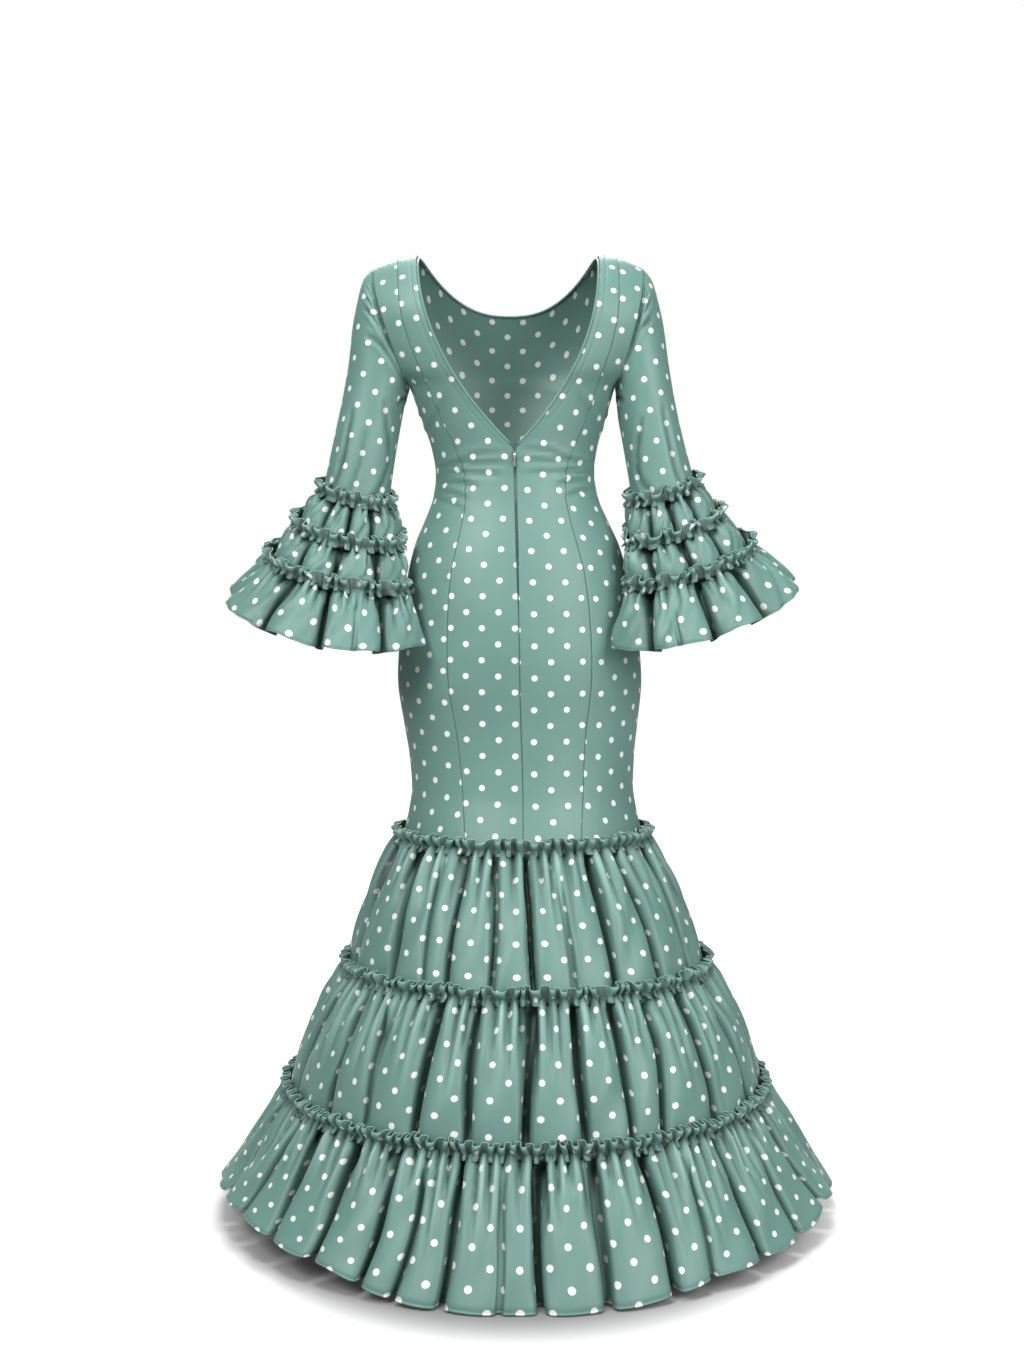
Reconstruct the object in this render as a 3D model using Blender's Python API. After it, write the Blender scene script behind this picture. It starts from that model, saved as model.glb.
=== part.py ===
"""A worn flamenco dress: fitted body with a deep back V, ruffled sleeves, three skirt tiers.

Metres, +Z up. The back of the dress faces +Y and the wearer's left is +X. The origin is
midway between the shoulder seams, at shoulder height. Every cloth piece is a wall of its
own, and pieces that are sewn together stop a hair apart.
"""

import math

import bmesh
import bpy
from mathutils import Vector

# Cloth and sewing.
CLOTH = 0.0020  # wall of every cloth piece
SEAM = 0.0003  # space between two pieces at a seam
LAP = 0.0045  # how far a wall runs past its stitch line, under the next piece
FRILL = 0.011  # height of the ruched heading above a stitch line

# Neck and shoulders, measured from the middle of the body.
NECK_HALF = 0.1385
BACK_NECK_DEPTH = 0.301
BACK_NECK_CURVE = 2.2
FRONT_NECK_DEPTH = 0.085
FRONT_NECK_CURVE = 2.5
FRONT_NECK_SHARES = (0.0, 0.30, 0.56, 0.78, 0.92, 1.0)  # corners along half the front neck
SHOULDER_HALF = 0.206
SHOULDER_DROP = 0.0215
SHOULDER_CURVE = 1.6
SHOULDER_ROUND = 0.11  # depth below the seam at which the body is as deep as it gets
SHOULDER_LEVEL = 0.12  # below this depth the rows of cloth run level
ARMHOLE_DEPTH = 0.2035
ARMHOLE_HOLLOW = 0.049  # how far the armhole runs in from the shoulder to the underarm
ARMHOLE_CURVE = 1.8

# The fitted body, a row for each measured level, down from the shoulders. half_width,
# back and front are those of the ring round the body there, sway is how far it stands
# to the side, and the seams are the two long seams of the back and of the front.
BODY_COLUMNS = ("height", "half_width", "back", "front", "sway", "back_seam", "front_seam")
BODY_ROWS = (
    (0.000, 0.250, 0.085, 0.080, 0.0110, 0.168, 0.168),
    (-0.060, 0.246, 0.098, 0.096, 0.0095, 0.166, 0.160),
    (-0.100, 0.238, 0.101, 0.108, 0.0080, 0.162, 0.146),
    (-0.130, 0.226, 0.101, 0.118, 0.0068, 0.155, 0.134),
    (-0.153, 0.212, 0.101, 0.123, 0.0058, 0.148, 0.124),
    (-0.179, 0.190, 0.101, 0.126, 0.0050, 0.138, 0.114),
    (-0.2035, 0.157, 0.099, 0.126, 0.0040, 0.128, 0.106),
    (-0.223, 0.150, 0.096, 0.124, 0.0032, 0.121, 0.101),
    (-0.260, 0.1377, 0.091, 0.116, 0.0020, 0.107, 0.092),
    (-0.297, 0.1262, 0.086, 0.104, 0.0010, 0.090, 0.082),
    (-0.334, 0.1209, 0.084, 0.096, 0.0000, 0.0775, 0.074),
    (-0.371, 0.1260, 0.088, 0.095, -0.0010, 0.0755, 0.073),
    (-0.407, 0.1400, 0.097, 0.098, -0.0020, 0.081, 0.078),
    (-0.444, 0.1560, 0.108, 0.102, -0.0030, 0.090, 0.086),
    (-0.490, 0.1680, 0.118, 0.107, -0.0040, 0.100, 0.095),
    (-0.550, 0.1780, 0.126, 0.111, -0.0053, 0.1055, 0.101),
    (-0.609, 0.1844, 0.129, 0.113, -0.0066, 0.107, 0.103),
    (-0.646, 0.1860, 0.128, 0.113, -0.0070, 0.106, 0.102),
    (-0.720, 0.1775, 0.124, 0.113, -0.0090, 0.096, 0.096),
    (-0.760, 0.1720, 0.125, 0.114, -0.0103, 0.092, 0.091),
    (-0.811, 0.1690, 0.131, 0.118, -0.0115, 0.089, 0.088),
    (-0.848, 0.1740, 0.142, 0.128, -0.0118, 0.087, 0.087),
    (-0.888, 0.1840, 0.158, 0.146, -0.0120, 0.085, 0.086),
)

# Levels at which the body's panels have a row of corners. One is the end of the zip.
ZIP_BOTTOM = 0.530
SHOULDER_LEVELS = (0.0, -0.0066, -0.0257, -0.055, -0.091, -0.120)
CHEST_LEVELS = (-0.153, -0.179, -0.195, -ARMHOLE_DEPTH, -0.223, -0.252, -0.280, -BACK_NECK_DEPTH)
HIP_LEVELS = (-0.334, -0.385, -0.440, -0.485, -ZIP_BOTTOM, -0.588, -0.646)
KNEE_LEVELS = (-0.720, -0.790, -0.840, -0.888)
BODY_LEVELS = SHOULDER_LEVELS + CHEST_LEVELS + HIP_LEVELS + KNEE_LEVELS

# Skirt rings at the three stitch lines and the hem. Sizes are to the creases between the
# folds, and side_lift is how much higher the ring is at the wearer's sides.
SKIRT_COLUMNS = ("height", "half_width", "back", "front", "sway", "side_lift")
SKIRT_ROWS = (
    (-0.887, 0.1850, 0.159, 0.147, -0.0120, 0.000),
    (-1.070, 0.2560, 0.268, 0.256, -0.0145, 0.004),
    (-1.253, 0.3370, 0.358, 0.348, -0.0170, 0.010),
    (-1.437, 0.4230, 0.424, 0.422, -0.0170, 0.022),
)
# Folds of each tier: how many, how far they stand out at its top, middle and bottom, and
# how they are turned round the ring.
FOLD_COLUMNS = ("folds", "top", "middle", "bottom", "turn")
SKIRT_FOLDS = (
    (22, 0.003, 0.020, 0.007, 0.3),
    (26, 0.003, 0.024, 0.008, 1.1),
    (32, 0.004, 0.026, 0.042, 2.0),
)
SKIRT_TIER_ROWS = (0.0, 0.45, 1.0)
SKIRT_HEADING_FOLDS = 12

# Sleeves: outer and inner edge of each ring as seen from behind, from the armhole to the
# stitch line at the elbow, with half its depth, how far back its middle stands and how
# much lower its back is than its middle, as the forearm comes forward.
SLEEVE_COLUMNS = ("outer_x", "outer_z", "inner_x", "inner_z", "half_depth", "middle_y", "drop")
LEFT_SLEEVE_ROWS = (
    (0.2170, -0.0220, 0.1615, -0.2045, 0.060, 0.000, 0.000),
    (0.2320, -0.0390, 0.1630, -0.2110, 0.060, 0.000, 0.000),
    (0.2410, -0.0720, 0.1655, -0.2190, 0.059, 0.001, 0.000),
    (0.2485, -0.1130, 0.1685, -0.2300, 0.057, 0.002, 0.000),
    (0.2530, -0.1600, 0.1720, -0.2480, 0.055, 0.004, 0.000),
    (0.2620, -0.2150, 0.1765, -0.2750, 0.053, 0.008, 0.002),
    (0.2740, -0.2740, 0.1825, -0.3120, 0.052, 0.013, 0.005),
    (0.2870, -0.3380, 0.1890, -0.3600, 0.051, 0.018, 0.009),
    (0.2915, -0.3620, 0.1915, -0.3830, 0.051, 0.020, 0.010),
)
RIGHT_SLEEVE_ROWS = (
    (0.1960, -0.0220, 0.1535, -0.2045, 0.060, 0.000, 0.000),
    (0.2090, -0.0390, 0.1545, -0.2110, 0.060, 0.000, 0.000),
    (0.2190, -0.0720, 0.1550, -0.2200, 0.059, 0.001, 0.000),
    (0.2275, -0.1130, 0.1560, -0.2320, 0.057, 0.002, 0.000),
    (0.2335, -0.1600, 0.1575, -0.2500, 0.055, 0.004, 0.000),
    (0.2420, -0.2150, 0.1620, -0.2770, 0.053, 0.008, 0.002),
    (0.2540, -0.2740, 0.1680, -0.3130, 0.051, 0.013, 0.005),
    (0.2690, -0.3330, 0.1750, -0.3580, 0.050, 0.018, 0.009),
    (0.2735, -0.3530, 0.1770, -0.3790, 0.050, 0.020, 0.010),
)
# Sleeve ruffles: the ring at each of the three stitch lines and the hem, in those columns.
LEFT_RUFFLE_ROWS = (
    (0.2905, -0.3580, 0.1912, -0.3790, 0.0510, 0.020, 0.010),
    (0.3190, -0.4100, 0.1800, -0.4360, 0.0720, 0.025, 0.016),
    (0.3580, -0.4610, 0.1640, -0.4980, 0.1000, 0.030, 0.020),
    (0.4140, -0.5200, 0.1400, -0.5700, 0.1400, 0.035, 0.036),
)
RIGHT_RUFFLE_ROWS = (
    (0.2725, -0.3490, 0.1770, -0.3750, 0.0500, 0.020, 0.010),
    (0.2990, -0.3980, 0.1730, -0.4330, 0.0690, 0.025, 0.014),
    (0.3430, -0.4460, 0.1680, -0.4950, 0.0960, 0.030, 0.019),
    (0.4070, -0.5020, 0.1480, -0.5760, 0.1380, 0.035, 0.032),
)
LEFT_RUFFLE_FOLDS = (
    (8, 0.0024, 0.014, 0.006, 2.39),
    (8, 0.0024, 0.016, 0.007, 5.40),
    (10, 0.0030, 0.016, 0.026, 0.21),
)
RIGHT_RUFFLE_FOLDS = (
    (8, 0.0024, 0.014, 0.006, 0.40),
    (8, 0.0024, 0.016, 0.007, 1.30),
    (10, 0.0030, 0.016, 0.026, 2.10),
)
RUFFLE_TIER_ROWS = (0.0, 0.40, 1.0)
RUFFLE_HEADING_FOLDS = 5
RUFFLE_REACH = 0.024  # how far ruffles and headings stand out at a sleeve's stitch lines
HEM_REACH = 0.028  # the same at a sleeve's hem
HIP_CLEARANCE = 0.010  # space that a sleeve's ruffles keep from the body
HIP_SEARCH = 2.2  # how far along a spoke the hips are looked for, in spoke lengths
HIP_STEP = 0.05
HIP_EASE = 10
SLEEVE_GAP = 0.0006  # from the armhole edge to the sleeve's own edge
CAP_ROWS = 4  # rows over which a sleeve's rings take up the armhole's own shape

# Gathered cloth in general. A seat is the space from a tier's crests to the next tier over
# them, and a spare that from a tier to its heading. Slant and flat facets add to a seat and
# take from a spare, so a seat may be less than nothing.
SKIRT_SEAT = -0.0006
SKIRT_SPARE = 0.0006
RUFFLE_SEAT = 0.0008
RUFFLE_SPARE = 0.0009
SIDES_PER_FOLD = 5
HEADING_SIDES_PER_FOLD = 7
HEADING_FLARE = 0.0045  # how far a heading's top leans out
FLARE_CURVE = 0.82  # under 1, so that a tier swells out just below its stitch line
CREST_SHARPNESS = 0.25  # makes the folds' crests broad and the creases between them narrow
UNEVEN_FOLDS = 0.32  # how far the folds' spacing wanders

# Zip and piping.
PIPING_RADIUS = 0.0019
PIPING_START = 0.006  # how far above the point of the V the piping ends
ZIP_SLOT = 0.0032
ZIP_TAPE_WIDTH = 0.022
ZIP_TAPE_THICKNESS = 0.0010
ZIP_TAPE_SPACE = 0.0009  # from the back panels' inner face to the tape
SLIDER_SIZE = (0.0050, 0.0016, 0.0095)
SLIDER_TOP = 0.3045
EAR_SIZE = (0.0008, 0.0044, 0.0034)
PIN_DEPTH = 0.3095  # how far the pull tab's pin is below the shoulders
PIN_STAND = 0.0020  # from the slider's flat face to the middle of the pin
PIN_RADIUS = 0.00045
EYE_HOLE = 0.00085
EYE_RADIUS = 0.00150
EYE_LENGTH = 0.0024
TAB_SIZE = (0.0032, 0.0010, 0.0165)
TAB_NECK = 0.55  # width of the tab at its eye, as a share of its width at its end
METAL_SIDES = 16

SATIN = (0.200, 0.355, 0.315, 1.0)
SATIN_EDGE = (0.240, 0.400, 0.360, 1.0)
TAPE_GREEN = (0.050, 0.110, 0.095, 1.0)
NICKEL = (0.780, 0.780, 0.760, 1.0)

BACK = 1
FRONT = -1
UP = Vector((0.0, 0.0, 1.0))
BACKWARD = Vector((0.0, 1.0, 0.0))


class Profile:
    """Named columns of a short table whose rows run down the dress, read at any height."""

    def __init__(self, names, rows):
        self.heights = [row[0] for row in rows]
        self.columns = {name: [row[i] for row in rows] for i, name in enumerate(names)}

    def slope(self, values, row):
        """Slope of the curve at a row, such that it never swings past the rows."""
        rises = []
        for i in (row - 1, row):
            if 0 <= i < len(values) - 1:
                run = self.heights[i + 1] - self.heights[i]
                rises.append((values[i + 1] - values[i]) / run)
        if len(rises) == 1:
            return rises[0]
        if rises[0] * rises[1] <= 0:
            return 0.0
        return 2 * rises[0] * rises[1] / (rises[0] + rises[1])

    def at(self, name, height):
        values = self.columns[name]
        if height >= self.heights[0]:
            return values[0]
        if height <= self.heights[-1]:
            return values[-1]
        row = 0
        while height < self.heights[row + 1]:
            row += 1
        run = self.heights[row + 1] - self.heights[row]
        t = (height - self.heights[row]) / run
        start = self.slope(values, row) * run
        end = self.slope(values, row + 1) * run
        return (
            values[row] * (1 + 2 * t) * (1 - t) ** 2
            + start * t * (1 - t) ** 2
            + values[row + 1] * t * t * (3 - 2 * t)
            - end * t * t * (1 - t)
        )


BODY = Profile(BODY_COLUMNS, BODY_ROWS)


def named(columns, row):
    return dict(zip(columns, row))


def blend(start, end, share):
    return start + (end - start) * share


# ---- Pieces and materials ------------------------------------------------


def clear_scene():
    for obj in list(bpy.data.objects):
        bpy.data.objects.remove(obj)


def finish(name, colour, roughness, metallic=0.0):
    material = bpy.data.materials.new(name)
    material.use_nodes = True
    shader = material.node_tree.nodes["Principled BSDF"]
    shader.inputs["Base Color"].default_value = colour
    shader.inputs["Roughness"].default_value = roughness
    shader.inputs["Metallic"].default_value = metallic
    return material


def satin(name, colour=SATIN):
    return finish(name + "_satin", colour, 0.45)


def metal(name):
    return finish(name + "_nickel", NICKEL, 0.25, 1.0)


def mesh_piece(name, mesh, material):
    mesh.materials.append(material)
    piece = bpy.data.objects.new(name, mesh)
    bpy.data.collections["flamenco_dress"].objects.link(piece)
    return piece


def wall(name, outer, inner, closed_ring, material):
    """A closed wall between two grids of points. A ring joins its last column to its first."""
    shape = bmesh.new()
    layers = [[[shape.verts.new(p) for p in row] for row in grid] for grid in (outer, inner)]
    rows = len(outer)
    columns = len(outer[0])
    steps = [(c, (c + 1) % columns) for c in range(columns if closed_ring else columns - 1)]
    for layer in layers:
        for upper, lower in zip(layer, layer[1:]):
            for left, right in steps:
                shape.faces.new((upper[left], upper[right], lower[right], lower[left]))
    face, lining = layers
    for edge in (0, rows - 1):
        for left, right in steps:
            corners = (face[edge][left], face[edge][right], lining[edge][right], lining[edge][left])
            shape.faces.new(corners)
    if not closed_ring:
        for side in (0, columns - 1):
            for r in range(rows - 1):
                corners = (face[r][side], face[r + 1][side], lining[r + 1][side], lining[r][side])
                shape.faces.new(corners)
    bmesh.ops.recalc_face_normals(shape, faces=shape.faces)
    mesh = bpy.data.meshes.new(name)
    shape.to_mesh(mesh)
    shape.free()
    mesh.shade_smooth()
    return mesh_piece(name, mesh, material)


# ---- The body's surface --------------------------------------------------


def shoulder_height(x):
    """Height of the shoulder seam at x from the middle of the body."""
    run = max(0.0, abs(x) - NECK_HALF) / (SHOULDER_HALF - NECK_HALF)
    return -SHOULDER_DROP * run**SHOULDER_CURVE


def shoulder_fullness(x, z):
    """Square of the share of its full depth that the body has: 0 on the shoulder seam."""
    below = min((shoulder_height(x) - z) / SHOULDER_ROUND, 1.0)
    return 1 - (1 - below) ** 2


def body_depth(side, z):
    return BODY.at("back" if side == BACK else "front", z)


def body_point(side, x, z):
    """A point on the outer face of the body's cloth, x from the middle of the body."""
    across = 1 - (x / BODY.at("half_width", z)) ** 2
    full = max(0.0, across) * max(0.0, shoulder_fullness(x, z))
    y = SEAM / 2 + body_depth(side, z) * math.sqrt(full)
    return Vector((x + BODY.at("sway", z), side * y, z))


def body_outward(side, point):
    """The direction straight out of the body's cloth at a point of it."""

    def field(x, y, z):
        local = x - BODY.at("sway", z)
        across = 1 - (local / BODY.at("half_width", z)) ** 2
        return (y / body_depth(side, z)) ** 2 - across * shoulder_fullness(local, z)

    step = 1e-4
    x, y, z = point
    return Vector(
        (
            field(x + step, y, z) - field(x - step, y, z),
            field(x, y + step, z) - field(x, y - step, z),
            field(x, y, z + step) - field(x, y, z - step),
        )
    ).normalized()


def moved_in(side, grid, distance):
    """The same grid of the body's points, moved into the body."""
    return [[p - body_outward(side, p) * distance for p in row] for row in grid]


# ---- Body panels ---------------------------------------------------------


def back_neck(level):
    """Half the width of the back V at a level, nothing below its point."""
    share = min(1.0, -level / BACK_NECK_DEPTH)
    return NECK_HALF * (1 - share**BACK_NECK_CURVE)


def front_scoop(x):
    """How far the front neck edge lies below the shoulders at x from the middle."""
    share = min(1.0, abs(x) / NECK_HALF)
    return FRONT_NECK_DEPTH * (1 - share**FRONT_NECK_CURVE)


def armhole(level):
    """x of the armhole edge, and below the underarm that of the side seam."""
    share = -level / ARMHOLE_DEPTH
    if share >= 1.0:
        return BODY.at("half_width", level)
    return SHOULDER_HALF - ARMHOLE_HOLLOW * share**ARMHOLE_CURVE


def zip_edge(level):
    return ZIP_SLOT / 2 if -level < ZIP_BOTTOM else SEAM / 2


def on_level(level, x):
    """Height of a level's row at x: level low down, and along the shoulder seam at the top."""
    return level + shoulder_height(x) * max(0.0, 1 + level / SHOULDER_LEVEL)


def panel_grid(side, hand, inner_edge, outer_edge, columns):
    """Points of a body panel between two edges, on the wearer's left (+1) or right (-1)."""
    grid = []
    for level in BODY_LEVELS:
        half = BODY.at("half_width", level)
        start = math.acos(min(1.0, inner_edge(level) / half))
        end = math.acos(min(1.0, outer_edge(level) / half))
        row = []
        for c in range(columns + 1):
            x = half * math.cos(blend(start, end, c / columns))
            row.append(body_point(side, hand * x, on_level(level, x)))
        grid.append(row)
    return grid


def body_seam(side, offset):
    """Edge along a long seam, half the seam's space to one side of it."""
    name = "back_seam" if side == BACK else "front_seam"
    return lambda level: BODY.at(name, level) + offset * SEAM / 2


def back_inner_edge(level):
    return max(back_neck(level), zip_edge(level))


def body_panel(name, side, hand, inner_edge, outer_edge, columns):
    outer = panel_grid(side, hand, inner_edge, outer_edge, columns)
    return wall(name, outer, moved_in(side, outer, CLOTH), False, satin(name))


def front_grid():
    """The front, in one piece between its long seams, with the neck scooped out of its top."""
    grid = []
    seam_top = BODY.at("front_seam", 0.0)
    half = [share * NECK_HALF / seam_top for share in FRONT_NECK_SHARES] + [1.0]
    shares = [-share for share in reversed(half)] + half[1:]
    for level in BODY_LEVELS:
        seam = body_seam(FRONT, -1)(level)
        lowered = max(0.0, 1 + level / ARMHOLE_DEPTH)
        row = []
        for share in shares:
            x = share * seam
            z = on_level(level, x) - front_scoop(share * seam_top) * lowered
            row.append(body_point(FRONT, x, z))
        grid.append(row)
    return grid


def make_body():
    for hand, where in ((1, "left"), (-1, "right")):
        seam = body_seam(BACK, -1)
        body_panel("back_" + where, BACK, hand, back_inner_edge, seam, 4)
        body_panel("side_back_" + where, BACK, hand, body_seam(BACK, 1), armhole, 2)
        body_panel("side_front_" + where, FRONT, hand, body_seam(FRONT, 1), armhole, 2)
    outer = front_grid()
    wall("front", outer, moved_in(FRONT, outer, CLOTH), False, satin("front"))


# ---- Rings of gathered cloth ---------------------------------------------


def hip_share(middle, spoke):
    """The share of a spoke, from a sleeve's middle, that stays clear of the body.

    It eases from one share to the other, so that the ring has no corner where it is held in.
    """

    def inside(share):
        point = middle + spoke * share
        half = BODY.at("half_width", point.z) + HIP_CLEARANCE
        depth = body_depth(BACK if point.y > 0 else FRONT, point.z) + HIP_CLEARANCE
        local = point.x - BODY.at("sway", point.z)
        return (local / half) ** 2 + (point.y / depth) ** 2 < 1

    clear = 0.2
    while clear < HIP_SEARCH and not inside(clear + HIP_STEP):
        clear += HIP_STEP
    if clear >= HIP_SEARCH:
        return 1.0
    blocked = clear + HIP_STEP
    for _ in range(10):
        halfway = (clear + blocked) / 2
        if inside(halfway):
            blocked = halfway
        else:
            clear = halfway
    return (clear**-HIP_EASE + 1) ** (-1 / HIP_EASE)


class Ring:
    """A ring of cloth round a middle point: across to each side, and back and front.

    lift raises it at the wearer's sides, and drop lowers its back. A ring with a reach has
    cloth standing out from it by that much, and is held in where that would touch the hips.
    """

    def __init__(self, middle, across, back, front, lift=0.0, drop=0.0, reach=0.0):
        self.middle = middle
        self.across = across
        self.back = back
        self.front = front
        self.lift = lift
        self.drop = drop
        self.reach = reach

    def out(self, angle):
        """The direction away from the middle, at an angle that runs from +X over the back."""
        sideways = self.across.normalized() * math.cos(angle)
        backward = BACKWARD - UP * (self.drop / self.back)
        return sideways + backward * math.sin(angle)

    def point(self, angle, outwards=0.0):
        depth = self.back if math.sin(angle) > 0 else self.front
        backward = BACKWARD * depth - UP * self.drop
        spoke = self.across * math.cos(angle) + backward * math.sin(angle)
        spoke += UP * (self.lift * math.cos(angle) ** 2)
        if self.reach:
            longest = spoke + self.out(angle) * self.reach
            share = hip_share(self.middle, longest)
            spoke = longest * share - self.out(angle) * self.reach
        return self.middle + spoke + self.out(angle) * outwards

    def facet(self, sides):
        """How far the flats of a ring with this many sides lie inside its corners."""
        widest = max(self.across.length, self.back, self.front)
        return widest * (1 - math.cos(math.pi / sides))


def between(upper, lower, share, flare):
    """The ring part of the way from one ring to the next, in its place and in its size."""
    return Ring(
        upper.middle.lerp(lower.middle, share),
        upper.across.lerp(lower.across, flare),
        blend(upper.back, lower.back, flare),
        blend(upper.front, lower.front, flare),
        blend(upper.lift, lower.lift, share),
        blend(upper.drop, lower.drop, share),
        blend(upper.reach, lower.reach, share),
    )


def skirt_ring(row):
    size = named(SKIRT_COLUMNS, row)
    middle = Vector((size["sway"], 0.0, size["height"]))
    across = Vector((size["half_width"], 0.0, 0.0))
    return Ring(middle, across, size["back"], size["front"], size["side_lift"])


def sleeve_ring(hand, row, reach=0.0):
    """A sleeve's ring, whose angles run from the wearer's left on both sleeves."""
    size = named(SLEEVE_COLUMNS, row)
    outer = Vector((hand * size["outer_x"], 0.0, size["outer_z"]))
    inner = Vector((hand * size["inner_x"], 0.0, size["inner_z"]))
    middle = (outer + inner) / 2 + BACKWARD * size["middle_y"]
    across = (outer - inner) * (hand / 2)
    depth = size["half_depth"]
    return Ring(middle, across, depth, depth, drop=size["drop"], reach=reach)


def fold_height(count, turn, angle):
    """From 0 in a crease to 1 on a crest, with folds that aren't evenly spaced."""
    wander = math.sin(3 * angle + turn) + 0.6 * math.sin(5 * angle + 2.3 * turn)
    phase = count * angle + turn + UNEVEN_FOLDS * wander
    shape = math.cos(phase) - CREST_SHARPNESS * math.cos(2 * phase)
    return (shape + 1 + CREST_SHARPNESS) / 2


def offset_ring(grid, distance):
    """The same ring of cloth, moved out along its own surface, or in where distance is negative."""
    rows, columns = len(grid), len(grid[0])
    moved = []
    for r in range(rows):
        above, below = grid[max(r - 1, 0)], grid[min(r + 1, rows - 1)]
        row = []
        for c in range(columns):
            along = grid[r][(c + 1) % columns] - grid[r][c - 1]
            way = (below[c] - above[c]).cross(along).normalized()
            row.append(grid[r][c] + way * distance)
        moved.append(row)
    return moved


def ring_wall(name, grid):
    return wall(name, grid, offset_ring(grid, -CLOTH), True, satin(name))


def angles(count):
    return [2 * math.pi * i / count for i in range(count)]


# ---- Ruffle tiers and their headings -------------------------------------


def tier_grid(upper, lower, folds, under, rows):
    """A gathered strip between two stitch lines. under is how thick the cloth below it is."""
    grid = []
    for share in rows:
        ring = between(upper, lower, share, share**FLARE_CURVE)
        if share < 0.5:
            depth = blend(folds["top"], folds["middle"], share / 0.5)
        else:
            depth = blend(folds["middle"], folds["bottom"], (share - 0.5) / 0.5)
        row = []
        for angle in angles(folds["folds"] * SIDES_PER_FOLD):
            fold = depth * fold_height(folds["folds"], folds["turn"], angle)
            row.append(ring.point(angle, under * (1 - share) + fold))
        grid.append(row)
    return grid


def heading_grid(ring, folds, turn, under):
    """The ruched frill above a stitch line: held in along its foot, and waved along its top."""
    sides = folds * HEADING_SIDES_PER_FOLD
    under += ring.facet(sides)
    raised = between(ring, ring, 0, 0)
    raised.middle = ring.middle + UP * FRILL
    top, foot = [], []
    for angle in angles(sides):
        wave = HEADING_FLARE * (0.5 + fold_height(folds, turn, angle))
        foot.append(ring.point(angle, under))
        top.append(raised.point(angle, under + wave))
    return [top, foot]


def gathered_tiers(prefix, rings, table, rows, heading_folds, seat, spare):
    """Every tier of a skirt or sleeve, from the top down, each with its heading over it."""
    under = CLOTH + seat
    for number, row in enumerate(table, start=1):
        folds = named(FOLD_COLUMNS, row)
        upper, lower = rings[number - 1], rings[number]
        if number < len(table):
            lower = between(lower, lower, 0, 0)
            lower.middle = lower.middle - UP * LAP
        ring_wall(f"{prefix}_tier_{number}", tier_grid(upper, lower, folds, under, rows))
        over = under + folds["top"] + CLOTH + spare
        heading = heading_grid(upper, heading_folds, folds["turn"], over)
        ring_wall(f"{prefix}_heading_{number}", heading)
        under = folds["bottom"] + CLOTH + seat


def make_skirt():
    rings = [skirt_ring(row) for row in SKIRT_ROWS]
    folds = SKIRT_HEADING_FOLDS
    gathered_tiers("skirt", rings, SKIRT_FOLDS, SKIRT_TIER_ROWS, folds, SKIRT_SEAT, SKIRT_SPARE)


# ---- Sleeves -------------------------------------------------------------


def armhole_turns():
    """Angles round the armhole from the shoulder, one at each corner of the panels' edges."""
    levels = [level for level in BODY_LEVELS if level >= -ARMHOLE_DEPTH]
    back = [math.acos(1 + 2 * level / ARMHOLE_DEPTH) for level in levels]
    return back + [2 * math.pi - turn for turn in reversed(back[1:-1])]


def armhole_point(hand, turn):
    """The armhole edge at an angle that runs from the shoulder, over the back to the underarm."""
    level = -ARMHOLE_DEPTH * (1 - math.cos(turn)) / 2
    side = BACK if math.sin(turn) >= 0 else FRONT
    x = armhole(level)
    return body_point(side, hand * x, on_level(level, x))


def sleeve_grid(hand, rows):
    """The sleeve's outer and inner face, from just off the armhole edge down to the elbow.

    At the shoulder its edge is cut square to the body's cloth, so that the two lie edge to edge.
    """
    turns = armhole_turns()
    steps = turns
    if hand < 0:
        turns = list(reversed(turns))
        steps = [math.pi - turn for turn in turns]
    plain = [[sleeve_ring(hand, row).point(angle) for angle in steps] for row in rows]
    edge = [armhole_point(hand, turn) for turn in turns]
    grid = []
    for number, row in enumerate(plain):
        fade = max(0.0, 1 - number / CAP_ROWS)
        shaped = zip(row, edge, plain[0])
        grid.append([point + (seam - first) * fade for point, seam, first in shaped])
    for c, seam in enumerate(edge):
        grid[0][c] = seam + (grid[1][c] - seam).normalized() * SLEEVE_GAP
    inner = offset_ring(grid, -CLOTH)
    for c, turn in enumerate(turns):
        own = (inner[0][c] - grid[0][c]).normalized()
        body = -body_outward(BACK if math.sin(turn) >= 0 else FRONT, edge[c])
        way = own.lerp(body, (1 + math.cos(turn)) / 2).normalized()
        inner[0][c] = grid[0][c] + way * CLOTH
    return grid, inner


def make_sleeve(hand, where, sleeve_rows, ruffle_rows, table):
    name = "sleeve_" + where
    outer, inner = sleeve_grid(hand, sleeve_rows)
    wall(name, outer, inner, True, satin(name))
    last = len(ruffle_rows) - 1
    reaches = [RUFFLE_REACH] * last + [HEM_REACH]
    rings = [sleeve_ring(hand, row, reach) for row, reach in zip(ruffle_rows, reaches)]
    folds = RUFFLE_HEADING_FOLDS
    gathered_tiers(name, rings, table, RUFFLE_TIER_ROWS, folds, RUFFLE_SEAT, RUFFLE_SPARE)


# ---- Neck piping ---------------------------------------------------------


def slope_of(curve, at):
    step = 1e-4
    return (curve(at + step) - curve(at - step)) / (2 * step)


def neck_point(side, hand, x, z, towards_x, towards_z):
    """Middle of the piping beside a point of the neck edge, in the thickness of the cloth."""
    stand = (PIPING_RADIUS + SEAM) / math.hypot(towards_x, towards_z)
    point = body_point(side, hand * (x + towards_x * stand), z + towards_z * stand)
    return point - body_outward(side, point) * (CLOTH / 2)


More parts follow.
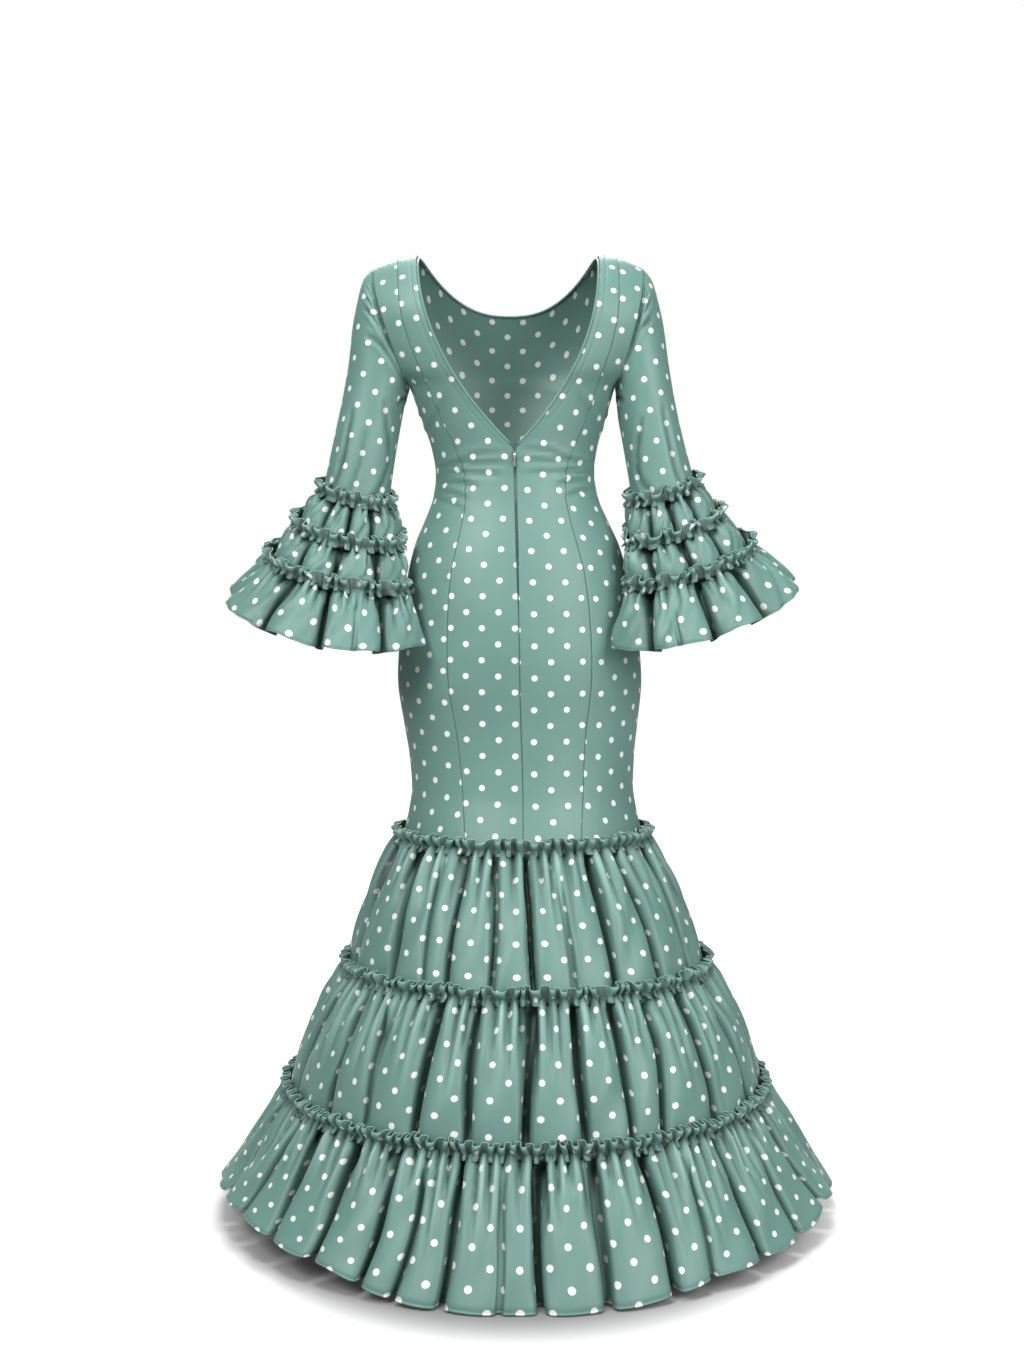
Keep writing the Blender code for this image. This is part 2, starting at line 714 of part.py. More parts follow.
def half_neck(hand):
    """The piping's middle line from the point of the V over the shoulder to the centre front."""
    start = -BACK_NECK_DEPTH + PIPING_START
    levels = [start] + [z for z in reversed(BODY_LEVELS) if start < z < 0]
    path = []
    for level in levels:
        slope = slope_of(back_neck, level)
        path.append(neck_point(BACK, hand, back_neck(level), level, -1, slope))
    shoulder = hand * (NECK_HALF - PIPING_RADIUS - SEAM) + BODY.at("sway", 0.0)
    path.append(Vector((shoulder, 0.0, -CLOTH / 2)))
    for share in reversed(FRONT_NECK_SHARES[:-1]):
        x = share * NECK_HALF
        slope = slope_of(lambda along: -front_scoop(along), x) if share else 0.0
        path.append(neck_point(FRONT, hand, x, -front_scoop(x), -slope, 1))
    return path


def make_piping():
    left = half_neck(1)
    path = left + list(reversed(half_neck(-1)))[1:]
    curve = bpy.data.curves.new("neck_piping", "CURVE")
    curve.dimensions = "3D"
    curve.bevel_depth = PIPING_RADIUS
    curve.bevel_resolution = 1
    curve.use_fill_caps = True
    spline = curve.splines.new("POLY")
    spline.points.add(len(path) - 1)
    for point, place in zip(spline.points, path):
        point.co = (*place, 1.0)
    mesh_piece("neck_piping", curve, satin("neck_piping", SATIN_EDGE))


# ---- Zip -----------------------------------------------------------------


def solid(name, make, size, place):
    """A bmesh primitive, scaled to its size and put in its place within its object."""
    shape = bmesh.new()
    make(shape)
    for vert in shape.verts:
        vert.co = Vector((vert.co.x * size[0], vert.co.y * size[1], vert.co.z * size[2])) + place
    mesh = bpy.data.meshes.new(name)
    shape.to_mesh(mesh)
    shape.free()
    return mesh


def block(name, size, place):
    return solid(name, lambda shape: bmesh.ops.create_cube(shape, size=1.0), size, place)


def bar(name, radius, length, place):
    """A cylinder that runs from side to side of the dress."""

    def make(shape):
        bmesh.ops.create_cone(
            shape, cap_ends=True, segments=METAL_SIDES, radius1=radius, radius2=radius, depth=length
        )
        for vert in shape.verts:
            vert.co = Vector((vert.co.z, vert.co.x, vert.co.y))

    return solid(name, make, (1, 1, 1), place)


def combine(piece, operation, mesh):
    """Joins a helper to a piece, or cuts it away."""
    helper = bpy.data.objects.new(mesh.name, mesh)
    bpy.data.collections["helpers"].objects.link(helper)
    helper.parent = piece
    helper.hide_render = True
    helper.display_type = "WIRE"
    boolean = piece.modifiers.new(mesh.name, "BOOLEAN")
    boolean.operation = operation
    boolean.object = helper


def make_tape():
    """The closed zip's tape, behind the opening between the back panels."""
    levels = [z for z in BODY_LEVELS if -ZIP_BOTTOM <= z <= -BACK_NECK_DEPTH]
    across = (-ZIP_TAPE_WIDTH / 2, 0.0, ZIP_TAPE_WIDTH / 2)
    surface = [[body_point(BACK, x, level) for x in across] for level in levels]
    outer = moved_in(BACK, surface, CLOTH + ZIP_TAPE_SPACE)
    inner = moved_in(BACK, surface, CLOTH + ZIP_TAPE_SPACE + ZIP_TAPE_THICKNESS)
    wall("zip_tape", outer, inner, False, finish("zip_tape_weave", TAPE_GREEN, 0.8))


def pin_place():
    """Middle of the pin that the pull tab hangs from."""
    face = body_point(BACK, 0.0, -SLIDER_TOP).y + SEAM + SLIDER_SIZE[1]
    return Vector((BODY.at("sway", -PIN_DEPTH), face + PIN_STAND, -PIN_DEPTH))


def make_slider():
    """The slider at the top of the zip: a flat body with two ears and a pin between them."""
    pin = pin_place()
    down = Vector((0.0, 0.0, PIN_DEPTH - SLIDER_TOP - SLIDER_SIZE[2] / 2))
    behind = Vector((0.0, -PIN_STAND - SLIDER_SIZE[1] / 2, 0.0))
    mesh = block("zip_slider", SLIDER_SIZE, down + behind)
    slider = mesh_piece("zip_slider", mesh, metal("zip_slider"))
    slider.location = pin
    aside = EYE_LENGTH / 2 + SEAM + EAR_SIZE[0] / 2
    sunk = EAR_SIZE[1] / 2 - PIN_STAND - SLIDER_SIZE[1] / 2
    for hand, where in ((1, "left"), (-1, "right")):
        place = Vector((hand * aside, sunk, 0.0))
        combine(slider, "UNION", block("zip_ear_" + where, EAR_SIZE, place))
    length = 2 * aside
    combine(slider, "UNION", bar("zip_pin", PIN_RADIUS, length, Vector()))


def make_pull():
    """The pull tab, hanging by its eye from the slider's pin."""
    mesh = bar("zip_pull", EYE_RADIUS, EYE_LENGTH, Vector())
    pull = mesh_piece("zip_pull", mesh, metal("zip_pull"))
    pull.location = pin_place()
    plate = block("zip_pull_plate", TAB_SIZE, Vector((0.0, 0.0, -TAB_SIZE[2] / 2)))
    for vert in plate.vertices:
        if vert.co.z > -TAB_SIZE[2] / 2:
            vert.co.x *= TAB_NECK
    combine(pull, "UNION", plate)
    combine(pull, "DIFFERENCE", bar("zip_pull_hole", EYE_HOLE, 2 * EYE_LENGTH, Vector()))


def main():
    clear_scene()
    for name in ("flamenco_dress", "helpers"):
        bpy.context.scene.collection.children.link(bpy.data.collections.new(name))
    make_body()
    make_piping()
    make_skirt()
    make_sleeve(1, "left", LEFT_SLEEVE_ROWS, LEFT_RUFFLE_ROWS, LEFT_RUFFLE_FOLDS)
    make_sleeve(-1, "right", RIGHT_SLEEVE_ROWS, RIGHT_RUFFLE_ROWS, RIGHT_RUFFLE_FOLDS)
    make_tape()
    make_slider()
    make_pull()


main()
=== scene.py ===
"""The looks of a worn flamenco dress: polka dot satin, ruched headings, ruffles and zip.

Metres, +Z up. The back of the dress faces +Y and the wearer's left is +X. Cloth pieces are
thin sheets on the forms of the frame's walls, with their own folds, creases and sewing.
"""

import math

import bpy
import numpy as np
from mathutils import Matrix


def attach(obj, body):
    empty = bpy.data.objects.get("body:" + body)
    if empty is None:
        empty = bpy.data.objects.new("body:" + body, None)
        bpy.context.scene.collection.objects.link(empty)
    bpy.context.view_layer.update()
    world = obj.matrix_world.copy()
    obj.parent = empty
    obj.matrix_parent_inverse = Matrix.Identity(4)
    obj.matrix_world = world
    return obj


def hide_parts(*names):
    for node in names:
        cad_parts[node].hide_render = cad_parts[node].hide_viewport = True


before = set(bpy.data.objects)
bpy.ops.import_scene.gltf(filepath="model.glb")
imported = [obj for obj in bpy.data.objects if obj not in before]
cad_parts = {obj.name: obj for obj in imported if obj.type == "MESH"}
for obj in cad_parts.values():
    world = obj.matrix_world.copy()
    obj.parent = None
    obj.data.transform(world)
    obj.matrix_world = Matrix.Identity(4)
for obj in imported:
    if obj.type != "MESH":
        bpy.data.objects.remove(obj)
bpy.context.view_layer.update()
bpy.ops.object.select_all(action="DESELECT")


# ---- Camera, floor and light ---------------------------------------------
# The dress is seen from behind, from 3 m away and 1 m above the floor. It stands over a
# white paper floor in wide, soft studio light that comes mostly from the camera's side.

CAMERA_PLACE = (0.0, 3.0, -0.436)
IMAGE_SIZE = (1024, 1365)
FOCAL_PIXELS = 1961
AXIS_PIXEL = (515, 540)  # where the camera's straight-ahead line meets the image
SENSOR_HEIGHT = 36.0
HEM_LEVEL = -1.4386
FLOOR_SIZE = 80
WHITE = (1, 1, 1, 1)
SHADE_SHAPE = (1.24, 1, 1)  # over 1 across, so that the shade on the floor is narrower there
# The soft lights: where each stands, where it points, its size and its power.
LIGHTS = {
    "key_light": ((2.2, 3.0, 2.0), (0, 0, -0.75), 2.0, 278),
    "fill_light": ((-2.4, 2.8, 0.7), (0, 0, -0.7), 2.2, 208),
    "top_light": ((0.1, 0.9, 2.9), (0, 0, -0.9), 1.4, 112),
    "front_light": ((0.3, -2.6, 2.2), (0, 0, -0.9), 2.0, 190),
}

bpy.ops.object.camera_add(location=CAMERA_PLACE, rotation=(math.radians(90), 0, math.radians(180)))
camera = bpy.context.object
camera.name = "studio_camera"
camera.data.sensor_fit = "VERTICAL"
camera.data.sensor_height = SENSOR_HEIGHT
camera.data.lens = FOCAL_PIXELS / IMAGE_SIZE[1] * SENSOR_HEIGHT
camera.data.shift_x = (IMAGE_SIZE[0] / 2 - AXIS_PIXEL[0]) / IMAGE_SIZE[1]
camera.data.shift_y = (AXIS_PIXEL[1] - IMAGE_SIZE[1] / 2) / IMAGE_SIZE[1]
bpy.context.scene.camera = camera
bpy.context.scene.view_settings.view_transform = "Standard"


def set_inputs(node, inputs):
    """Gives named inputs of a shader node a value each, or a link from another node."""
    for name, value in inputs.items():
        if isinstance(value, bpy.types.NodeSocket):
            node.id_data.links.new(value, node.inputs[name])
        else:
            node.inputs[name].default_value = value
    return node


def add_node(tree, kind, inputs, **settings):
    """A new node in a shader's tree."""
    node = tree.nodes.new("ShaderNode" + kind)
    for name, value in settings.items():
        setattr(node, name, value)
    return set_inputs(node, inputs)


def add_material(name):
    """A new material, with its tree of nodes and its main shader."""
    material = bpy.data.materials.new(name)
    material.use_nodes = True
    return material, material.node_tree, material.node_tree.nodes["Principled BSDF"]


def floor_ramp(start, end, low, high):
    """A value that rises smoothly between two distances from the middle of the skirt."""
    inputs = {"Value": from_dress, "From Min": start, "From Max": end, "To Min": low, "To Max": high}
    return add_node(paper_tree, "MapRange", inputs, interpolation_type="SMOOTHSTEP").outputs["Result"]


# The paper sweeps up to white behind the dress. To the camera it shows white, but it gives
# the cloth only a little light, so that folds keep their dark insides.
bpy.ops.mesh.primitive_plane_add(size=FLOOR_SIZE, location=(0, 0, HEM_LEVEL))
floor = bpy.context.object
floor.name = "paper_floor"
paper, paper_tree, paper_shader = add_material("white_paper")
floor_place = add_node(paper_tree, "TexCoord", {}).outputs["Object"]
narrowed = add_node(paper_tree, "Mapping", {"Vector": floor_place, "Scale": SHADE_SHAPE})
length = add_node(paper_tree, "VectorMath", {0: narrowed.outputs["Vector"]}, operation="LENGTH")
from_dress = length.outputs["Value"]
paper_ray = add_node(paper_tree, "LightPath", {}).outputs["Is Camera Ray"]
# Painted shadow: the paper's glow is weaker close under the skirt.
glow_with_painted_shadow = floor_ramp(0.50, 0.76, 0.03, 0.95)
seen_glow_with_painted_shadow = add_node(paper_tree, "Math", {0: glow_with_painted_shadow, 1: paper_ray}, operation="MULTIPLY")
# Painted shadow: the paper's colour is darker close under the skirt, as if little light reached it
# there.
set_inputs(paper_shader, {
    "Base Color": floor_ramp(0.45, 0.59, 0.13, 0.45),
    "Roughness": 0.9,
    "Specular IOR Level": 0.05,
    "Emission Color": WHITE,
    "Emission Strength": seen_glow_with_painted_shadow.outputs["Value"],
})
floor.data.materials.append(paper)

# The white of the studio behind, and the little light it gives from all round.
world = bpy.data.worlds.new("studio")
bpy.context.scene.world = world
world.use_nodes = True
sky_ray = add_node(world.node_tree, "LightPath", {}).outputs["Is Camera Ray"]
sky = add_node(world.node_tree, "MapRange", {"Value": sky_ray, "To Min": 0.13, "To Max": 0.99})
background = world.node_tree.nodes["Background"]
set_inputs(background, {"Strength": sky.outputs["Result"], "Color": WHITE})

for name, (place, target, size, watts) in LIGHTS.items():
    bpy.ops.object.light_add(type="AREA", location=place)
    light = bpy.context.object
    light.name = name
    light.data.size = size
    light.data.energy = watts
    aim = np.array(target) - np.array(place)
    tilt = math.atan2(math.hypot(aim[0], aim[1]), -aim[2])
    light.rotation_euler = (tilt, 0, math.atan2(-aim[0], aim[1]))


# ---- Fitted body ---------------------------------------------------------
# Seven panels of polka dot satin are cut to shape and sewn edge to edge: two back panels
# with the deep V, two side panels on each face, and one front with a scooped neck. Each
# has its edges turned in at the seams, and pull creases where it is tight on its wearer.

SATIN_COLOUR = (0.071, 0.144, 0.125, 1)
SATIN_DEEP = (0.060, 0.125, 0.109, 1)
SATIN_SHEEN = (0.75, 0.95, 0.88, 1)
DOT_WHITE = (0.420, 0.425, 0.415, 1)
# Colours painted into the satin: painted shade in folds and painted highlight on raised edges.
PAINTED_SHADE_COLOUR = (0.006, 0.018, 0.014, 1)
PAINTED_HIGHLIGHT_COLOUR = (0.150, 0.240, 0.215, 1)
DOT_PITCH = (0.049, 0.047)  # from dot to dot along a row, and over two rows
DOT_RADIUS = 0.0046
DOT_RAGGED = 0.10
DOT_EDGE = 0.012  # how soft a dot's edge is, as a share of its cell
DOT_FRAY = {"Scale": 260.0, "Detail": 1.0}
MOTTLE = {"Scale": 9.0, "Detail": 3.0}
MOTTLE_RANGE = (1.6, -0.15)  # how strongly the satin mottles, and how deep it is throughout
THREADS_PER_METRE = 2600
WEAVE = {"Scale": THREADS_PER_METRE / (2 * math.pi), "Detail": 0.0}
WEAVE_BUMP = (0.25, 0.00006)  # strength and height
SLACK = {"Scale": 26.0, "Detail": 2.5}
SLACK_STRETCH = (1.0, 0.55, 1.0)
SLACK_BUMP = (0.45, 0.0022)
SHEET = 0.0008  # thickness of the satin
SEAM = -0.0002  # the gap between sewn edges: below zero, because they lap
SEAM_TURN = 0.0016  # how far from a seam the cloth starts to turn in
SEAM_DEPTH = 0.0007
# The seam's shade below is painted into the satin's colour.
SEAM_SHADE = 0.6  # how dark the cloth is in the fold of a seam

NECK_HALF = 0.1385
BACK_NECK_DEPTH = 0.301
BACK_NECK_CURVE = 2.2
FRONT_NECK_DEPTH = 0.085
FRONT_NECK_CURVE = 2.5
SHOULDER_HALF = 0.206
SHOULDER_DROP = 0.0215
SHOULDER_CURVE = 1.6
SHOULDER_ROUND = 0.11
SHOULDER_LEVEL = 0.12
ARMHOLE_DEPTH = 0.2035
ARMHOLE_HOLLOW = 0.049
ARMHOLE_CURVE = 1.8
ZIP_SLOT = 0.0032
ZIP_BOTTOM = 0.530
ZIP_FADE = 0.085  # length over which the slot closes to a seam
ZIP_PAST = 0.017  # how far under the zip's end it is closed
BODY_BOTTOM = -0.888
BACK, FRONT = 1, -1

# Rings of the body down from the shoulders.
BODY_COLUMNS = ("height", "half_width", "back", "front", "sway", "back_seam", "front_seam")
BODY_ROWS = (
    (0.000, 0.250, 0.085, 0.080, 0.0110, 0.168, 0.168),
    (-0.060, 0.246, 0.098, 0.096, 0.0095, 0.166, 0.160),
    (-0.100, 0.238, 0.101, 0.108, 0.0080, 0.162, 0.146),
    (-0.130, 0.226, 0.101, 0.118, 0.0068, 0.155, 0.134),
    (-0.153, 0.212, 0.101, 0.123, 0.0058, 0.148, 0.124),
    (-0.179, 0.190, 0.101, 0.126, 0.0050, 0.138, 0.114),
    (-0.2035, 0.157, 0.099, 0.126, 0.0040, 0.128, 0.106),
    (-0.223, 0.150, 0.096, 0.124, 0.0032, 0.121, 0.101),
    (-0.260, 0.1377, 0.091, 0.116, 0.0020, 0.107, 0.092),
    (-0.297, 0.1262, 0.086, 0.104, 0.0010, 0.090, 0.082),
    (-0.334, 0.1209, 0.084, 0.096, 0.0000, 0.0775, 0.074),
    (-0.371, 0.1260, 0.088, 0.095, -0.0010, 0.0755, 0.073),
    (-0.407, 0.1400, 0.097, 0.098, -0.0020, 0.081, 0.078),
    (-0.444, 0.1560, 0.108, 0.102, -0.0030, 0.090, 0.086),
    (-0.490, 0.1680, 0.118, 0.107, -0.0040, 0.100, 0.095),
    (-0.550, 0.1780, 0.126, 0.111, -0.0053, 0.1055, 0.101),
    (-0.609, 0.1844, 0.129, 0.113, -0.0066, 0.107, 0.103),
    (-0.646, 0.1860, 0.128, 0.113, -0.0070, 0.106, 0.102),
    (-0.720, 0.1775, 0.124, 0.113, -0.0090, 0.096, 0.096),
    (-0.760, 0.1720, 0.125, 0.114, -0.0103, 0.092, 0.091),
    (-0.811, 0.1690, 0.131, 0.118, -0.0115, 0.089, 0.088),
    (-0.848, 0.1740, 0.142, 0.128, -0.0118, 0.087, 0.087),
    (-0.888, 0.1840, 0.158, 0.146, -0.0120, 0.085, 0.086),
)

# Pull creases: the face they are on, where their middle is across and up the body, their
# length, their tilt in degrees from level, half their width, and their depth.
PULL_CREASES = (
    (BACK, 0.088, -0.322, 0.052, -14, 0.0040, 0.0016),
    (BACK, 0.094, -0.336, 0.045, -6, 0.0036, 0.0017),
    (BACK, 0.090, -0.350, 0.060, 6, 0.0042, 0.0015),
    (BACK, 0.097, -0.366, 0.045, 16, 0.0038, 0.0013),
    (BACK, 0.099, -0.381, 0.050, 26, 0.0040, 0.0010),
    (BACK, 0.050, -0.308, 0.062, -7, 0.0036, 0.0010),
    (BACK, 0.046, -0.322, 0.066, -3, 0.0038, 0.0012),
    (BACK, 0.052, -0.337, 0.058, 2, 0.0040, 0.0009),
    (BACK, -0.086, -0.318, 0.050, 15, 0.0040, 0.0016),
    (BACK, -0.092, -0.333, 0.048, 5, 0.0036, 0.0018),
    (BACK, -0.090, -0.348, 0.058, -8, 0.0042, 0.0014),
    (BACK, -0.097, -0.363, 0.044, -17, 0.0038, 0.0013),
    (BACK, -0.045, -0.304, 0.060, 9, 0.0036, 0.0010),
    (BACK, -0.043, -0.319, 0.066, 4, 0.0038, 0.0012),
    (BACK, -0.047, -0.335, 0.060, -3, 0.0040, 0.0009),
    (BACK, 0.118, -0.250, 0.060, -62, 0.0045, 0.0014),
    (BACK, -0.116, -0.248, 0.060, 62, 0.0045, 0.0014),
    (FRONT, 0.086, -0.326, 0.055, -12, 0.0040, 0.0015),
    (FRONT, 0.090, -0.342, 0.050, -2, 0.0040, 0.0016),
    (FRONT, 0.092, -0.358, 0.050, 10, 0.0040, 0.0013),
    (FRONT, -0.085, -0.324, 0.055, 12, 0.0040, 0.0015),
    (FRONT, -0.090, -0.340, 0.050, 3, 0.0040, 0.0016),
    (FRONT, -0.092, -0.357, 0.050, -9, 0.0040, 0.0013),
    (FRONT, 0.010, -0.333, 0.090, 2, 0.0045, 0.0009),
    (FRONT, -0.012, -0.352, 0.080, -3, 0.0045, 0.0008),
    (FRONT, 0.128, -0.236, 0.055, -58, 0.0045, 0.0014),
    (FRONT, -0.127, -0.236, 0.055, 58, 0.0045, 0.0014),
)
PULL_BOW = 1.8  # how far a pull crease bends, in half widths
PULL_PRESS = 2.4
PULL_LIP = 0.7  # height of the raised lip beside a crease, as a share of its depth
PULL_LIP_AWAY = 1.9  # in half widths
PANEL_ROWS = 170
ROW_SPREAD = 0.28  # how much wider the rows are spaced at the foot
FRONT_COLUMNS = 62
FRONT_WIDTH = 0.19
# Where each panel's cut lies on the printed cloth.
PATTERN_SHIFTS = {
    "back_left": (0.006, 0.0), "back_right": (0.020, 0.002), "side_back_left": (0.031, 0.012),
    "side_back_right": (0.013, 0.021), "side_front_left": (0.008, 0.005),
    "side_front_right": (0.040, 0.014), "front": (0.0, 0.008),
}
EDGE_COLUMNS = (0.0, 0.0008, 0.0017, 0.0030)  # columns of a panel next to a seam
TOPSTITCH_INSET = 0.0095  # from the V's edge to its line of stitches
TOPSTITCH_PRESS = 0.0006
TOPSTITCH_GROOVE = 0.0014


def smooth_table(rows, column):
    """A column of a table of rows as a smooth curve over their first column, without swings."""
    heights = np.array([row[0] for row in rows])[::-1]
    values = np.array([row[column] for row in rows])[::-1]
    run = np.diff(heights)
    rise = np.diff(values) / run
    slope = np.empty_like(values)
    slope[0], slope[-1] = rise[0], rise[-1]
    turning = rise[:-1] * rise[1:] <= 0
    both = np.where(turning, 1.0, rise[:-1] + rise[1:])
    slope[1:-1] = np.where(turning, 0.0, 2 * rise[:-1] * rise[1:] / both)

    def curve(height):
        z = np.clip(height, heights[0], heights[-1])
        i = np.clip(np.searchsorted(heights, z) - 1, 0, len(run) - 1)
        t = (z - heights[i]) / run[i]
        first, last = slope[i] * run[i], slope[i + 1] * run[i]
        return (
            values[i] * (1 + 2 * t) * (1 - t) ** 2
            + first * t * (1 - t) ** 2
            + values[i + 1] * t * t * (3 - 2 * t)
            - last * t * t * (1 - t)
        )

    return curve


body_half, back_depth, front_depth, body_sway, back_seam, front_seam = (
    smooth_table(BODY_ROWS, column) for column in range(1, len(BODY_COLUMNS))
)


def shoulder_height(x):
    run = np.maximum(0.0, np.abs(x) - NECK_HALF) / (SHOULDER_HALF - NECK_HALF)
    return -SHOULDER_DROP * run**SHOULDER_CURVE


def body_place(side, x, z):
    """Points on the outer face of the body, x from its middle."""
    depth = np.where(side == BACK, back_depth(z), front_depth(z))
    below = np.clip((shoulder_height(x) - z) / SHOULDER_ROUND, 0.0, 1.0)
    across = np.clip(1 - (x / body_half(z)) ** 2, 0.0, 1.0)
    y = SEAM / 2 + depth * np.sqrt(across * (1 - (1 - below) ** 2))
    return np.stack(np.broadcast_arrays(x + body_sway(z), side * y, z), -1)


def surface_normals(points):
    """Directions square to a grid of points, to the right of its rows as seen going down."""
    down = np.gradient(points, axis=0)
    along = np.gradient(points, axis=1)
    normal = np.cross(down, along)
    return normal / np.maximum(np.linalg.norm(normal, axis=-1, keepdims=True), 1e-12)


def run_lengths(points, axis):
    """Distance travelled over a grid of points along one of its axes."""
    steps = np.linalg.norm(np.diff(points, axis=axis), axis=-1)
    pad = [(0, 0), (0, 0)]
    pad[axis] = (1, 0)
    return np.pad(np.cumsum(steps, axis=axis), pad)


def cloth_sheet(name, points, cut, joined, thickness=SHEET, crease=0.0):
    """A thin sheet of cloth through a grid of points, with its cut laid out as its UV map.

    The first row is the top, and a joined sheet closes on itself, so its last column lies on
    its first. crease is the painted shade put into the satin's colour at each point, from 0 to 1,
    most where it lies deep in a fold, or the painted highlight, from 0 to -1 along a raised edge.
    """
    rows, columns = points.shape[:2]
    bpy.ops.mesh.primitive_grid_add(x_subdivisions=columns - 1, y_subdivisions=rows - 1, size=1)
    sheet = bpy.context.object
    sheet.name = name
    mesh = sheet.data
    count = len(mesh.vertices)
    place = np.empty(count * 3)
    mesh.vertices.foreach_get("co", place)
    place = place.reshape(-1, 3)
    across = np.rint((place[:, 0] + 0.5) * (columns - 1)).astype(int)
    down = np.rint((0.5 - place[:, 1]) * (rows - 1)).astype(int)
    corner = np.empty(len(mesh.loops), dtype=int)
    mesh.loops.foreach_get("vertex_index", corner)
    mesh.uv_layers[0].name = "cut"
    mesh.uv_layers[0].data.foreach_set("uv", cut[down[corner], across[corner]].ravel())
    mesh.vertices.foreach_set("co", points[down, across].ravel())
    # The crease attribute carries painted shade and painted highlight for the satin's colour.
    painted_shade = mesh.attributes.new("crease", "FLOAT", "POINT")
    painted_shade.data.foreach_set("value", np.broadcast_to(crease, (rows, columns))[down, across])
    mesh.update()
    if joined:
        bpy.ops.object.mode_set(mode="EDIT")
        bpy.ops.mesh.select_all(action="SELECT")
        bpy.ops.mesh.remove_doubles(threshold=1e-6)
        bpy.ops.object.mode_set(mode="OBJECT")
    bpy.ops.object.shade_smooth()
    if thickness:
        solidify = sheet.modifiers.new("cloth", "SOLIDIFY")
        solidify.thickness = thickness
        solidify.offset = -1
        solidify.use_even_offset = False
        bpy.ops.object.modifier_apply(modifier="cloth")
    sheet.select_set(False)
    return sheet


def satin_piece(name, points, cut, crease, flat, held, joined=True, **measures):
    """A sheet of the polka dot satin on the dress, in place of the plain wall of that name."""
    sheet = cloth_sheet(name + "_cloth", points, cut, joined, crease=crease)
    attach(sheet, "dress")
    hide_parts(name)
    sheet.data.materials.append(polka)


def satin(name, dots):
    """Green satin with or without white dots: its weave, dots and creases follow the cut."""
    material, tree, shader = add_material(name)
    cut = add_node(tree, "UVMap", {}, uv_map="cut").outputs["UV"]

    def texture(kind, inputs, stretch=(1, 1, 1), **settings):
        laid = add_node(tree, "Mapping", {"Vector": cut, "Scale": stretch}).outputs["Vector"]
        return add_node(tree, "Tex" + kind, {"Vector": laid, **inputs}, **settings).outputs["Fac"]

    def step(operation, *values, kind="Math", **settings):
        inputs = dict(enumerate(values))
        return add_node(tree, kind, inputs, operation=operation, **settings).outputs[0]

    def tinted(share, first, second):
        inputs = {"Factor": share, "A": first, "B": second}
        return add_node(tree, "Mix", inputs, data_type="RGBA").outputs["Result"]

    def bumped(bump, height, **normal):
        inputs = {"Strength": bump[0], "Distance": bump[1], "Height": height, **normal}
        return add_node(tree, "Bump", inputs).outputs["Normal"]

    mottle = step("MULTIPLY_ADD", texture("Noise", MOTTLE), *MOTTLE_RANGE)
    colour = tinted(mottle, SATIN_DEEP, SATIN_COLOUR)
    if dots:
        scale = (math.sqrt(2) / DOT_PITCH[0], math.sqrt(2) / DOT_PITCH[1], 1)
        inputs = {"Vector": cut, "Rotation": (0, 0, math.radians(45)), "Scale": scale}
        lattice = add_node(tree, "Mapping", inputs).outputs["Vector"]
        cell = step("FRACTION", lattice, kind="VectorMath")
        middle = step("SUBTRACT", cell, (0.5, 0.5, 0), kind="VectorMath")
        away = add_node(tree, "VectorMath", {0: middle}, operation="LENGTH").outputs["Value"]
        radius = DOT_RADIUS / (sum(DOT_PITCH) / 2 / math.sqrt(2))
        fray = radius * DOT_RAGGED
        edge = step("ADD", away, step("MULTIPLY_ADD", texture("Noise", DOT_FRAY), 2 * fray, -fray))
        inputs = {"Value": edge, "From Min": radius + DOT_EDGE, "From Max": radius - DOT_EDGE}
        colour = tinted(add_node(tree, "MapRange", inputs).outputs["Result"], colour, DOT_WHITE)
    # Painted shade: deep in a fold, where the crease attribute is over 0, the satin's colour darkens.
    # Painted highlight: along raised edges, where it is under 0, the colour lightens.
    crease = add_node(tree, "Attribute", {}, attribute_name="crease").outputs["Fac"]
    for side, tint in ((1, PAINTED_SHADE_COLOUR), (-1, PAINTED_HIGHLIGHT_COLOUR)):
        colour = tinted(step("MULTIPLY", crease, side, use_clamp=True), colour, tint)

    # Threads of the weave, and the fine slack creases of worn satin, as bumps.
    threads = [texture("Wave", WEAVE, bands_direction=way) for way in "XY"]
    normal = bumped(WEAVE_BUMP, step("MAXIMUM", *threads))
    normal = bumped(SLACK_BUMP, texture("Noise", SLACK, SLACK_STRETCH), Normal=normal)
    set_inputs(shader, {
        "Base Color": colour,
        "Roughness": 0.50,
        "Specular IOR Level": 0.30,
        "Sheen Weight": 0.06,
        "Sheen Roughness": 0.45,
        "Sheen Tint": SATIN_SHEEN,
        "Normal": normal,
    })
    return material


def back_neck(level):
    return NECK_HALF * (1 - np.clip(-level / BACK_NECK_DEPTH, 0, 1) ** BACK_NECK_CURVE)


def front_scoop(x):
    return FRONT_NECK_DEPTH * (1 - np.clip(np.abs(x) / NECK_HALF, 0, 1) ** FRONT_NECK_CURVE)


def armhole(level):
    share = -level / ARMHOLE_DEPTH
    cut = SHOULDER_HALF - ARMHOLE_HOLLOW * np.clip(share, 0, 1) ** ARMHOLE_CURVE
    return np.where(share >= 1.0, body_half(level), cut)


def zip_edge(level):
    """Half the slot at the centre back: open over the zip, closing to a seam below it."""
    closing = np.clip((ZIP_BOTTOM + ZIP_PAST + level) / ZIP_FADE, 0, 1)
    return SEAM / 2 + (ZIP_SLOT - SEAM) / 2 * closing


def on_level(level, x):
    return level + shoulder_height(x) * np.maximum(0.0, 1 + level / SHOULDER_LEVEL)


